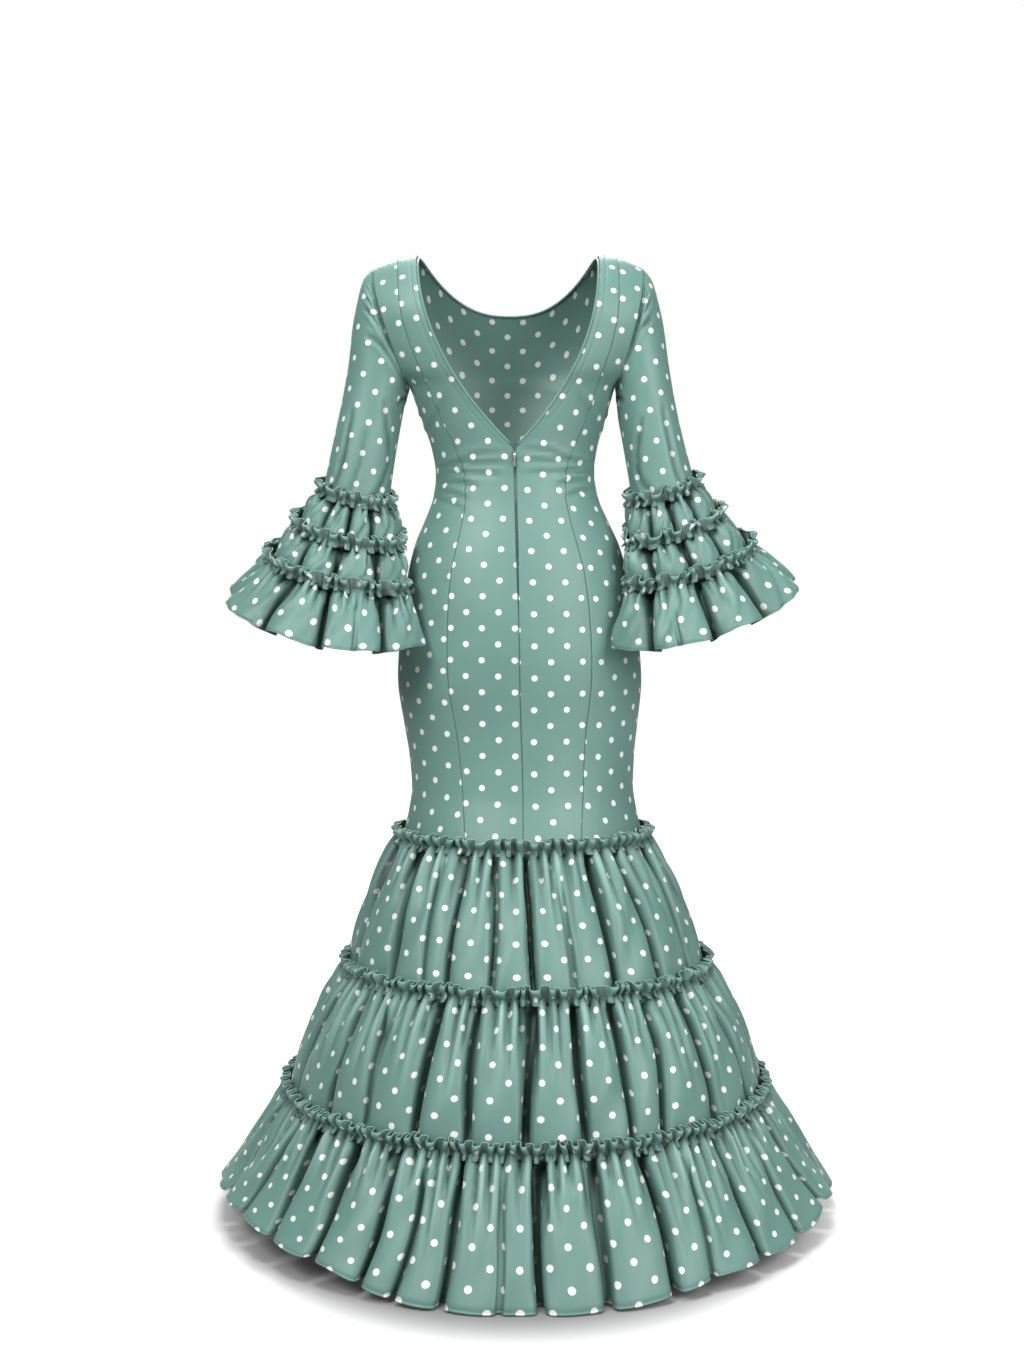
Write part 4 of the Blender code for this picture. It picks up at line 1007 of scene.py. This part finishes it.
# The armhole and tuck shade below is painted into the satin's colour.
TUCK_SHADE = 0.55
TUCK_DARKEST = 0.0045  # how deep a crease is where its shade is full
ARMHOLE_SHADE = 0.9
ARMHOLE_LINE = 0.0032  # how far the shade of the armhole seam reaches down the sleeve

# Creases of each sleeve: the row of the table and the angle in degrees where each starts and
# ends, its half width and its depth. Angles run from the outer edge over the back.
LEFT_SLEEVE_CREASES = (
    (0.35, 44, 0.05, 104, 0.0026, 0.0022),
    (0.70, 44, 0.06, 112, 0.0026, 0.0026),
    (1.10, 46, 0.08, 121, 0.0028, 0.0026),
    (1.60, 52, 0.12, 130, 0.0030, 0.0020),
    (2.40, 70, 0.60, 146, 0.0036, 0.0014),
    (3.60, 150, 1.60, 176, 0.0040, 0.0016),
    (5.30, 58, 7.40, 46, 0.0046, 0.0018),
    (5.60, 92, 7.60, 78, 0.0050, 0.0012),
    (4.30, 120, 6.30, 150, 0.0048, 0.0012),
    (6.10, 150, 7.60, 118, 0.0042, 0.0012),
    (0.40, 318, 0.06, 262, 0.0026, 0.0020),
    (0.90, 316, 0.08, 250, 0.0028, 0.0022),
    (2.60, 250, 4.60, 215, 0.0048, 0.0014),
    (5.40, 300, 7.40, 286, 0.0050, 0.0014),
    (5.20, 240, 6.60, 205, 0.0046, 0.0016),
)
RIGHT_SLEEVE_CREASES = (
    (0.40, 47, 0.05, 106, 0.0026, 0.0024),
    (0.80, 45, 0.06, 114, 0.0026, 0.0026),
    (1.25, 49, 0.08, 124, 0.0028, 0.0024),
    (1.90, 58, 0.15, 134, 0.0032, 0.0018),
    (3.30, 148, 1.40, 175, 0.0040, 0.0016),
    (5.10, 64, 7.50, 52, 0.0048, 0.0015),
    (4.90, 108, 6.60, 138, 0.0046, 0.0013),
    (6.30, 138, 7.60, 104, 0.0044, 0.0012),
    (0.45, 314, 0.06, 258, 0.0026, 0.0020),
    (1.00, 312, 0.08, 246, 0.0028, 0.0022),
    (3.00, 246, 4.80, 212, 0.0048, 0.0014),
    (5.60, 296, 7.50, 280, 0.0050, 0.0014),
    (5.00, 238, 6.50, 204, 0.0046, 0.0016),
)
SLEEVE_ROWS_COUNT = 64
SLEEVE_COLUMNS_COUNT = 97


def sleeve_ring(hand, size, reach=0.0):
    """A sleeve's ring, or a whole column of them, from its sizes by name."""
    zero = 0 * size["outer_x"]
    outer = np.stack([hand * size["outer_x"], zero, size["outer_z"]], -1)
    inner = np.stack([hand * size["inner_x"], zero, size["inner_z"]], -1)
    return {
        "middle": (outer + inner) / 2 + np.stack([zero, size["middle_y"], zero], -1),
        "across": (outer - inner) * hand / 2,
        "back": size["half_depth"],
        "front": size["half_depth"],
        "lift": zero,
        "drop": size["drop"],
        "reach": zero + reach,
    }


def armhole_points(hand, turn):
    """The armhole edge at angles from the shoulder over the back to the underarm."""
    level = -ARMHOLE_DEPTH * (1 - np.cos(turn)) / 2
    side = np.where(np.sin(turn) >= 0, BACK, FRONT)
    x = armhole(level)
    return body_place(side, hand * x, on_level(level, x))


def press_creases(points, rows, angles, creases):
    """How far creases press a sleeve's points in, and lift them a little on both sides.

    rows and angles say where the points lie on the sleeve, as its table of creases does.
    """
    order = np.argsort(angles, kind="stable")
    relief = np.zeros(points.shape[:2])
    share = np.linspace(0, 1, TUCK_STEPS)
    for row_start, angle_start, row_end, angle_end, width, depth in creases:
        row = np.interp(row_start + (row_end - row_start) * share, rows, np.arange(len(rows)))
        turn = np.radians(angle_start + (angle_end - angle_start) * share)
        turn = turn + TUCK_WAVER * np.sin(5 * share + row_start)
        column = np.interp(turn, np.radians(angles[order]), np.arange(len(angles)))
        line = points[np.rint(row).astype(int), order[np.rint(column).astype(int)]]
        away = np.linalg.norm(points[:, :, None] - line, axis=-1)
        nearest = away.argmin(axis=-1)
        away = away.min(axis=-1) / width
        fade = np.sin(math.pi * np.clip(share[nearest] * 0.86 + 0.10, 0, 1)) ** 0.6
        lip = TUCK_LIP * np.exp(-((away - TUCK_LIP_AWAY) ** 2))
        relief += TUCK_DEPTH * depth * fade * (lip - np.exp(-(away**2)))
    return relief


def unrolled(points, foot, head):
    """The cut of a sleeve, unrolled round the line from its foot to its head."""
    axis = (head - foot) / np.linalg.norm(head - foot)
    height = (points - foot) @ axis
    away = points - foot - height[..., None] * axis
    sideways = np.array([1.0, 0, 0]) - axis[0] * axis
    sideways /= np.linalg.norm(sideways)
    turn = np.unwrap(np.arctan2(away @ np.cross(axis, sideways), away @ sideways), axis=1)
    whole_turns = np.round((turn.mean(axis=1) - turn[-1].mean()) / (2 * math.pi))
    turn = turn - 2 * math.pi * whole_turns[:, None]
    return np.stack([turn * SLEEVE_REPEATS * DOT_PITCH[0] / (2 * math.pi), height], -1)


for hand, where, table, creases in (
    (1, "left", LEFT_SLEEVE_ROWS, LEFT_SLEEVE_CREASES),
    (-1, "right", RIGHT_SLEEVE_ROWS, RIGHT_SLEEVE_CREASES),
):
    rows = (len(table) - 1) * np.linspace(0, 1, SLEEVE_ROWS_COUNT) ** ROW_CROWDING
    numbered = [(-float(i), *row) for i, row in enumerate(table)]
    size = {
        key: smooth_table(numbered, column)(-rows)[:, None]
        for column, key in enumerate(SLEEVE_COLUMNS, start=1)
    }
    turn = np.linspace(0, 2 * math.pi, SLEEVE_COLUMNS_COUNT)
    angle = turn if hand > 0 else (math.pi - turn)[::-1]
    plain = ring_points(sleeve_ring(hand, size), angle[None, :], np.zeros((SLEEVE_ROWS_COUNT, 1)))
    # Its head is drawn to the armhole over the first rows, and laps it a little.
    seam_edge = armhole_points(hand, turn if hand > 0 else turn[::-1])
    points = plain + (seam_edge - plain[0]) * np.clip(1 - rows / CAP_ROWS, 0, None)[:, None, None]
    step = points[1] - seam_edge
    points[0] = seam_edge + step / np.linalg.norm(step, axis=-1, keepdims=True) * SLEEVE_GAP
    normal = surface_normals(points)
    outer_angle = np.degrees(angle) % 360 if hand > 0 else (180 - np.degrees(angle)) % 360
    relief = press_creases(points, rows, outer_angle, creases)
    relief -= SEAM_DEPTH * np.clip(1 - run_lengths(points, 0) / SEAM_TURN, 0, 1) ** 2
    relief[:, -1] = relief[:, 0]
    points = points + normal * relief[..., None]
    points[:, -1] = points[:, 0]
    along = run_lengths(points, 1)
    down = run_lengths(points, 0)
    cut = unrolled(points, plain[-1].mean(axis=0), plain[1].mean(axis=0))
    cut = cut + np.array([0.011, 0.006 * hand])
    # Painted shade along the armhole seam and in the tucks' creases.
    shade = np.maximum(
        ARMHOLE_SHADE * np.clip(1 - down / ARMHOLE_LINE, 0, 1),
        np.clip(-relief / TUCK_DARKEST, 0, TUCK_SHADE),
    )
    area = float(np.trapz(along[:, -1], down.mean(axis=1)))
    flat = (along[:, -1].max(), down.max())
    satin_piece(f"sleeve_{where}", points, cut, shade, flat, "hung", area=area)


# ---- Sleeve ruffles ------------------------------------------------------
# Three gathered tiers on each sleeve from the elbow down, as on the skirt but smaller. Their
# lobes are fuller and rounder, and the third opens into a wide, waved hem over the forearm.

LEFT_RUFFLE_ROWS = (
    (0.2905, -0.3580, 0.1912, -0.3790, 0.0510, 0.020, 0.010),
    (0.3190, -0.4100, 0.1800, -0.4360, 0.0720, 0.025, 0.016),
    (0.3580, -0.4610, 0.1640, -0.4980, 0.1000, 0.030, 0.020),
    (0.4140, -0.5200, 0.1400, -0.5700, 0.1400, 0.035, 0.036),
)
RIGHT_RUFFLE_ROWS = (
    (0.2725, -0.3490, 0.1770, -0.3750, 0.0500, 0.020, 0.010),
    (0.2990, -0.3980, 0.1730, -0.4330, 0.0690, 0.025, 0.014),
    (0.3430, -0.4460, 0.1680, -0.4950, 0.0960, 0.030, 0.019),
    (0.4070, -0.5020, 0.1480, -0.5760, 0.1380, 0.035, 0.032),
)
RUFFLE_REACH = ((0.0024, 0.012, 0.0085), (0.0024, 0.013, 0.0095), (0.0030, 0.014, 0.026))
RUFFLE_SEAT = 0.0008
RUFFLE_CREASE_DEPTHS = ((0.026, 0.024), (0.028, 0.028), (0.030, 0.040))
RING_REACH = (0.024, 0.024, 0.024, 0.028)
RUFFLE_ROWS_COUNT = 30
RUFFLE_PUFF = 0.30
RUFFLE_GAPE = 3.2
RUFFLE_PITCH = 0.0120
RUFFLE_LOOP_PITCH = 0.0150
RUFFLE_HEM = (0.018, 0.0015, ())  # how far it dips in the creases and waves, and no lifts
HIP_CLEARANCE = 0.010
HIP_EASE = 10
HIP_SEARCH = 2.2
HIP_START = 0.2
HIP_STEP = 0.05
HIP_HALVINGS = 10
# Creases of the ruffles, as for the skirt's tiers, from the wearer's left over the back.
LEFT_RUFFLE_CREASES = (
    (
        (10, 8, 0.9), (57, 58, 1.0), (89, 89, 1.0), (119, 120, 0.95), (168, 168, 0.8),
        (214, 214, 0.9), (259, 258, 1.0), (308, 310, 0.9),
    ),
    (
        (4, 2, 0.9), (53, 53, 1.0), (86, 86, 1.0), (123, 124, 1.0), (174, 176, 0.8),
        (221, 220, 0.9), (263, 264, 1.0), (312, 311, 0.9),
    ),
    (
        (2, 0, 0.9), (54, 53, 1.0), (87, 88, 1.0), (106, 107, 0.16, 0.4), (124, 125, 1.0),
        (182, 184, 0.9), (222, 222, 0.9), (262, 262, 1.0), (300, 300, 0.8), (331, 332, 0.8),
    ),
)
RIGHT_RUFFLE_CREASES = (
    (
        (13, 12, 0.9), (62, 61, 0.95), (93, 93, 1.0), (124, 125, 1.0), (170, 172, 0.9),
        (220, 220, 0.9), (266, 266, 1.0), (314, 313, 0.9),
    ),
    (
        (6, 4, 0.8), (58, 57, 1.0), (95, 95, 1.0), (128, 128, 1.0), (177, 178, 0.9),
        (226, 226, 0.9), (270, 269, 1.0), (318, 318, 0.9),
    ),
    (
        (0, -2, 0.9), (57, 56, 1.0), (75, 74, 0.16, 0.4), (94, 94, 1.0), (127, 128, 1.0),
        (179, 180, 0.9), (218, 218, 0.9), (258, 258, 1.0), (296, 296, 0.8), (329, 329, 0.8),
    ),
)


def hip_share(middle, spoke):
    """The share of each spoke, from a sleeve's middle, that stays clear of the body."""

    def inside(share):
        place = middle + spoke * share[..., None]
        half = body_half(place[..., 2]) + HIP_CLEARANCE
        depth = np.where(place[..., 1] > 0, back_depth(place[..., 2]), front_depth(place[..., 2]))
        local = place[..., 0] - body_sway(place[..., 2])
        return (local / half) ** 2 + (place[..., 1] / (depth + HIP_CLEARANCE)) ** 2 < 1

    clear = np.full(np.broadcast_shapes(middle.shape, spoke.shape)[:-1], HIP_START)
    searching = np.ones(clear.shape, dtype=bool)
    while np.any(searching & (clear < HIP_SEARCH)):
        searching &= (clear < HIP_SEARCH) & ~inside(clear + HIP_STEP)
        clear = np.where(searching, clear + HIP_STEP, clear)
    blocked = clear + HIP_STEP
    free = clear >= HIP_SEARCH
    for _ in range(HIP_HALVINGS):
        halfway = (clear + blocked) / 2
        hit = inside(halfway)
        blocked = np.where(hit, halfway, blocked)
        clear = np.where(hit, clear, halfway)
    return np.where(free, 1.0, (clear**-HIP_EASE + 1) ** (-1 / HIP_EASE))


for hand, where, table, all_creases in (
    (1, "left", LEFT_RUFFLE_ROWS, LEFT_RUFFLE_CREASES),
    (-1, "right", RIGHT_RUFFLE_ROWS, RIGHT_RUFFLE_CREASES),
):
    rings = []
    for row, reach in zip(table, RING_REACH):
        size = {key: np.float64(value) for key, value in zip(SLEEVE_COLUMNS, row)}
        rings.append(sleeve_ring(hand, size, reach))
    under = CLOTH + RUFFLE_SEAT
    for number, (reach, creases) in enumerate(zip(RUFFLE_REACH, all_creases), start=1):
        seed = 3.1 * number + hand
        lobe = (RUFFLE_CREASE_DEPTHS[number - 1], RUFFLE_PUFF, RUFFLE_GAPE)
        ruffle = gathered_tier(
            f"sleeve_{where}_tier_{number}", rings[number - 1 : number + 1], reach, under, creases,
            lobe, seed, RUFFLE_ROWS_COUNT, RUFFLE_PITCH,
            RUFFLE_HEM if number == len(RUFFLE_REACH) else None,
        )
        heading = f"sleeve_{where}_heading_{number}"
        frill(heading, rings[number - 1], under, RUFFLE_LOOP_PITCH, seed, 1.0)
        under = reach[2] + CLOTH + RUFFLE_SEAT
    tier_hems[f"sleeve_{where}_hem"] = ruffle




# ---- Neck piping ---------------------------------------------------------
# A thin cord covered with plain satin on the bias, caught in the seam round the V and over the
# shoulders to the front scoop. A line of stitches holds the turned edge flat beside it.

PIPING_RADIUS = 0.0019
PIPING_START = 0.006
PIPING_SUNK = 0.0006  # how far the cord sits into the edge of the cloth
PIPING_SIDES = 12
PIPING_ROUNDING = 3
BACK_NECK_STEPS = 46
FRONT_NECK_STEPS = 30
SHOULDER_TOP = -0.004  # where the V's line of points ends, just under the shoulder seam
SLOPE_SPAN = 0.0005  # how far to each side the neck's slope is measured


def beside_neck(side, hand, level, x, slope, away):
    """Points beside the neck edge, and the directions that face out of the cloth there."""
    towards = np.stack([-1 + 0 * slope, slope], -1)
    if side == FRONT:
        towards = np.stack([-slope, 1 + 0 * slope], -1)
    towards = towards / np.linalg.norm(towards, axis=1, keepdims=True) * away
    across, up = x + towards[:, 0], level + towards[:, 1]
    points = body_place(side, hand * across, up)
    depth = back_depth(up) if side == BACK else front_depth(up)
    lean_x = (points[:, 0] - body_sway(up)) / body_half(up) ** 2
    out = np.stack([lean_x, points[:, 1] / depth**2, 0 * up], -1)
    return points, out / np.linalg.norm(out, axis=1, keepdims=True)


def neck_line(hand, away):
    """Places along one half of the neck, up the V from its point and down to the centre front."""
    share = np.linspace(0, 1, BACK_NECK_STEPS)[:-1]
    level = (PIPING_START - BACK_NECK_DEPTH) * (1 - share) + SHOULDER_TOP * share
    slope = (back_neck(level + SLOPE_SPAN) - back_neck(level - SLOPE_SPAN)) / (2 * SLOPE_SPAN)
    back_points, back_out = beside_neck(BACK, hand, level, back_neck(level), slope, away)
    x = NECK_HALF * np.linspace(0.985, 0, FRONT_NECK_STEPS)
    slope = (front_scoop(x - SLOPE_SPAN) - front_scoop(x + SLOPE_SPAN)) / (2 * SLOPE_SPAN)
    slope[-1] = 0
    front_points, front_out = beside_neck(FRONT, hand, -front_scoop(x), x, slope, away)
    top = np.array([[hand * (NECK_HALF - away) + body_sway(0.0), 0.0, -CLOTH / 2]])
    points = np.concatenate([back_points, top, front_points])
    out = np.concatenate([back_out, [[0.0, 0.0, 1.0]], front_out])
    return points, out


def smoothed(path, times):
    """A path with its corners rounded, its two ends kept."""
    for _ in range(times):
        inner = (path[:-2] + 2 * path[1:-1] + path[2:]) / 4
        path = np.concatenate([path[:1], inner, path[-1:]])
    return path


def tube(path, radius, sides):
    """Rings of points round a path, drawn in to a point at both ends."""
    ahead = np.gradient(path, axis=0)
    ahead /= np.linalg.norm(ahead, axis=1, keepdims=True)
    aside = np.cross(ahead, [0, 0, 1])
    aside /= np.linalg.norm(aside, axis=1, keepdims=True)
    up = np.cross(aside, ahead)
    turn = np.linspace(0, -2 * math.pi, sides + 1)
    ring = np.cos(turn)[None, :, None] * aside[:, None] + np.sin(turn)[None, :, None] * up[:, None]
    points = path[:, None] + radius * ring
    first, last = 0 * points[:1] + path[0], 0 * points[:1] + path[-1]
    return np.concatenate([first, points, last])


halves = []
for hand in (1, -1):
    line, out = neck_line(hand, PIPING_RADIUS - PIPING_SUNK)
    halves.append(line - out * CLOTH / 2)
path = smoothed(np.concatenate([halves[0], halves[1][-2::-1]]), PIPING_ROUNDING)
rings = tube(path, PIPING_RADIUS, PIPING_SIDES)
run = np.linspace(0, run_lengths(rings, 0)[-1].mean(), len(rings))[:, None]
girth = np.linspace(0, 2 * math.pi * PIPING_RADIUS, PIPING_SIDES + 1)[None, :]
cut = np.stack(np.broadcast_arrays(girth, -run), -1)
piping = cloth_sheet("neck_piping_cloth", rings, cut, joined=True, thickness=0)
piping.data.materials.append(satin("piping_satin", dots=False))
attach(piping, "dress")
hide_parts("neck_piping")


# ---- Stitches ------------------------------------------------------------
# Machine stitches in green thread: one line beside the piping on the V, and one along the
# rolled hem of the skirt and of each sleeve. Each stitch dips into the cloth at both ends.

THREAD_RADIUS = 0.00026
STITCH_LENGTH = 0.0027
STITCH_STEP = 0.0038
STITCH_SUNK = 0.6  # how deep a stitch lies in the cloth, in radii
HEM_STITCH_ROW = -4  # the row of a tier's points where its rolled hem is sewn
THREAD_GREEN = (0.062, 0.128, 0.110, 1)
THREAD_TWIST = {"Scale": 900, "Distortion": 2.0}
THREAD_RELIEF = 0.00008


def ribbed(name, colour, roughness, ribs, relief, **settings):
    """A dull material with fine ribs, for twisted thread or woven tape."""
    material, tree, shader = add_material(name)
    place = add_node(tree, "TexCoord", {}).outputs["Object"]
    wave = add_node(tree, "TexWave", {"Vector": place, **ribs}, **settings).outputs["Fac"]
    bump = add_node(tree, "Bump", {"Height": wave, "Distance": relief}).outputs["Normal"]
    set_inputs(shader, {"Base Color": colour, "Roughness": roughness, "Normal": bump})
    return material


def repeat_mesh(piece, points):
    """Makes a piece's mesh into many copies of itself, with a row of points for each copy."""
    one = piece.data
    copies, corners = points.shape[:2]
    faces = [face.vertices[:] for face in one.polygons]
    each = [[corners * i + corner for corner in face] for i in range(copies) for face in faces]
    piece.data = bpy.data.meshes.new(piece.name)
    piece.data.from_pydata(points.reshape(-1, 3).tolist(), [], each)
    bpy.data.meshes.remove(one)


def stitch_line(name, path, out):
    """A row of stitches along a path on the cloth, one mesh made from one stitch."""
    travelled = np.concatenate([[0], np.cumsum(np.linalg.norm(np.diff(path, axis=0), axis=1))])

    def along(values, places):
        return np.stack([np.interp(places, travelled, values[:, i]) for i in range(3)], -1)

    bpy.ops.mesh.primitive_ico_sphere_add(subdivisions=1, radius=1)
    stitches = bpy.context.object
    stitches.name = name
    corner = np.array([vertex.co for vertex in stitches.data.vertices])
    places = np.arange(STITCH_STEP, travelled[-1] - STITCH_STEP, STITCH_STEP)
    middle = along(path, places)
    ahead = along(path, places + 0.001) - middle
    ahead /= np.linalg.norm(ahead, axis=1, keepdims=True)
    up = along(out, places)
    up = up - ahead * (up * ahead).sum(axis=1, keepdims=True)
    up /= np.linalg.norm(up, axis=1, keepdims=True)
    aside = np.cross(ahead, up)
    points = (middle + up * THREAD_RADIUS * (1 - STITCH_SUNK))[:, None]
    sizes = (STITCH_LENGTH / 2, THREAD_RADIUS, THREAD_RADIUS)
    for axis, (size, way) in enumerate(zip(sizes, (ahead, aside, up))):
        points = points + corner[None, :, axis : axis + 1] * size * way[:, None]
    repeat_mesh(stitches, points)
    bpy.ops.object.shade_smooth()
    stitches.data.materials.append(thread)
    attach(stitches, "dress")
    stitches.select_set(False)


thread = ribbed("green_thread", THREAD_GREEN, 0.55, THREAD_TWIST, THREAD_RELIEF)
for hand, where in ((1, "left"), (-1, "right")):
    line, out = neck_line(hand, -TOPSTITCH_INSET)
    line, out = line[: BACK_NECK_STEPS - 4], out[: BACK_NECK_STEPS - 4]
    stitch_line(f"neck_stitches_{where}", line - out * TOPSTITCH_PRESS, out)
for name, points in tier_hems.items():
    normals = surface_normals(points)
    stitch_line(f"{name}_stitches", points[HEM_STITCH_ROW], normals[HEM_STITCH_ROW])


# ---- Zip -----------------------------------------------------------------
# A nylon coil zip set into the centre back under the V, behind two turned edges that nearly
# meet. Its slider and pull tab are nickel plated, and its tape is woven and dyed to match.

TAPE_LIFT = 0.0003  # from the tape up to the coil
COIL_RADIUS = 0.0005
COIL_WIDTH = 0.0042
COIL_STEP = 0.0019
COIL_START = 0.316
COIL_END = 0.460
COIL_SIDES = 8
COIL_TILT = 84  # degrees from upright, as its threads climb
COIL_ROUNDING = 0.6  # of its radius, at each end
COIL_SMOOTH = 40  # degrees between faces that are shaded as one
TAPE_BEHIND = 0.0029  # from the cloth's face back to the tape's
TAPE_GREEN = (0.045, 0.095, 0.082, 1)
TAPE_RIBS = {"Scale": 220}
TAPE_RELIEF = 0.00015
NICKEL_COLOUR = (0.60, 0.59, 0.56, 1)

nickel, nickel_tree, nickel_shader = add_material("nickel")
metal_place = add_node(nickel_tree, "TexCoord", {}).outputs["Object"]
wear = add_node(nickel_tree, "TexNoise", {"Vector": metal_place, "Scale": 420}).outputs["Fac"]
worn = add_node(nickel_tree, "MapRange", {"Value": wear, "To Min": 0.20, "To Max": 0.42})
rough = worn.outputs["Result"]
set_inputs(nickel_shader, {"Base Color": NICKEL_COLOUR, "Metallic": 1.0, "Roughness": rough})
tape_weave = ribbed("zip_tape_weave", TAPE_GREEN, 0.8, TAPE_RIBS, TAPE_RELIEF, bands_direction="Z")
for node, material in (("zip_tape", tape_weave), ("zip_slider", nickel), ("zip_pull", nickel)):
    mesh = bpy.data.objects[node].data
    mesh.materials.clear()
    mesh.materials.append(material)

# One turn of the coil, modelled once and copied down the tape.
bpy.ops.mesh.primitive_cylinder_add(vertices=COIL_SIDES, radius=COIL_RADIUS, depth=COIL_WIDTH)
coil = bpy.context.object
coil.name = "zip_coil"
bevel = coil.modifiers.new("round_ends", "BEVEL")
bevel.width = COIL_RADIUS * COIL_ROUNDING
bevel.segments = 1
bpy.ops.object.modifier_apply(modifier="round_ends")
corner = np.array([vertex.co for vertex in coil.data.vertices])
z = -COIL_START - COIL_STEP * np.arange(int((COIL_END - COIL_START) / COIL_STEP))
face = body_place(BACK, 0 * z, z)
place = face + np.array([0, TAPE_LIFT + COIL_RADIUS - TAPE_BEHIND, 0])
turned = corner @ np.array(Matrix.Rotation(math.radians(COIL_TILT), 3, "Y"))
repeat_mesh(coil, turned + place[:, None])
bpy.ops.object.shade_smooth_by_angle(angle=math.radians(COIL_SMOOTH))
coil.data.materials.append(tape_weave)
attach(coil, "dress")
coil.select_set(False)
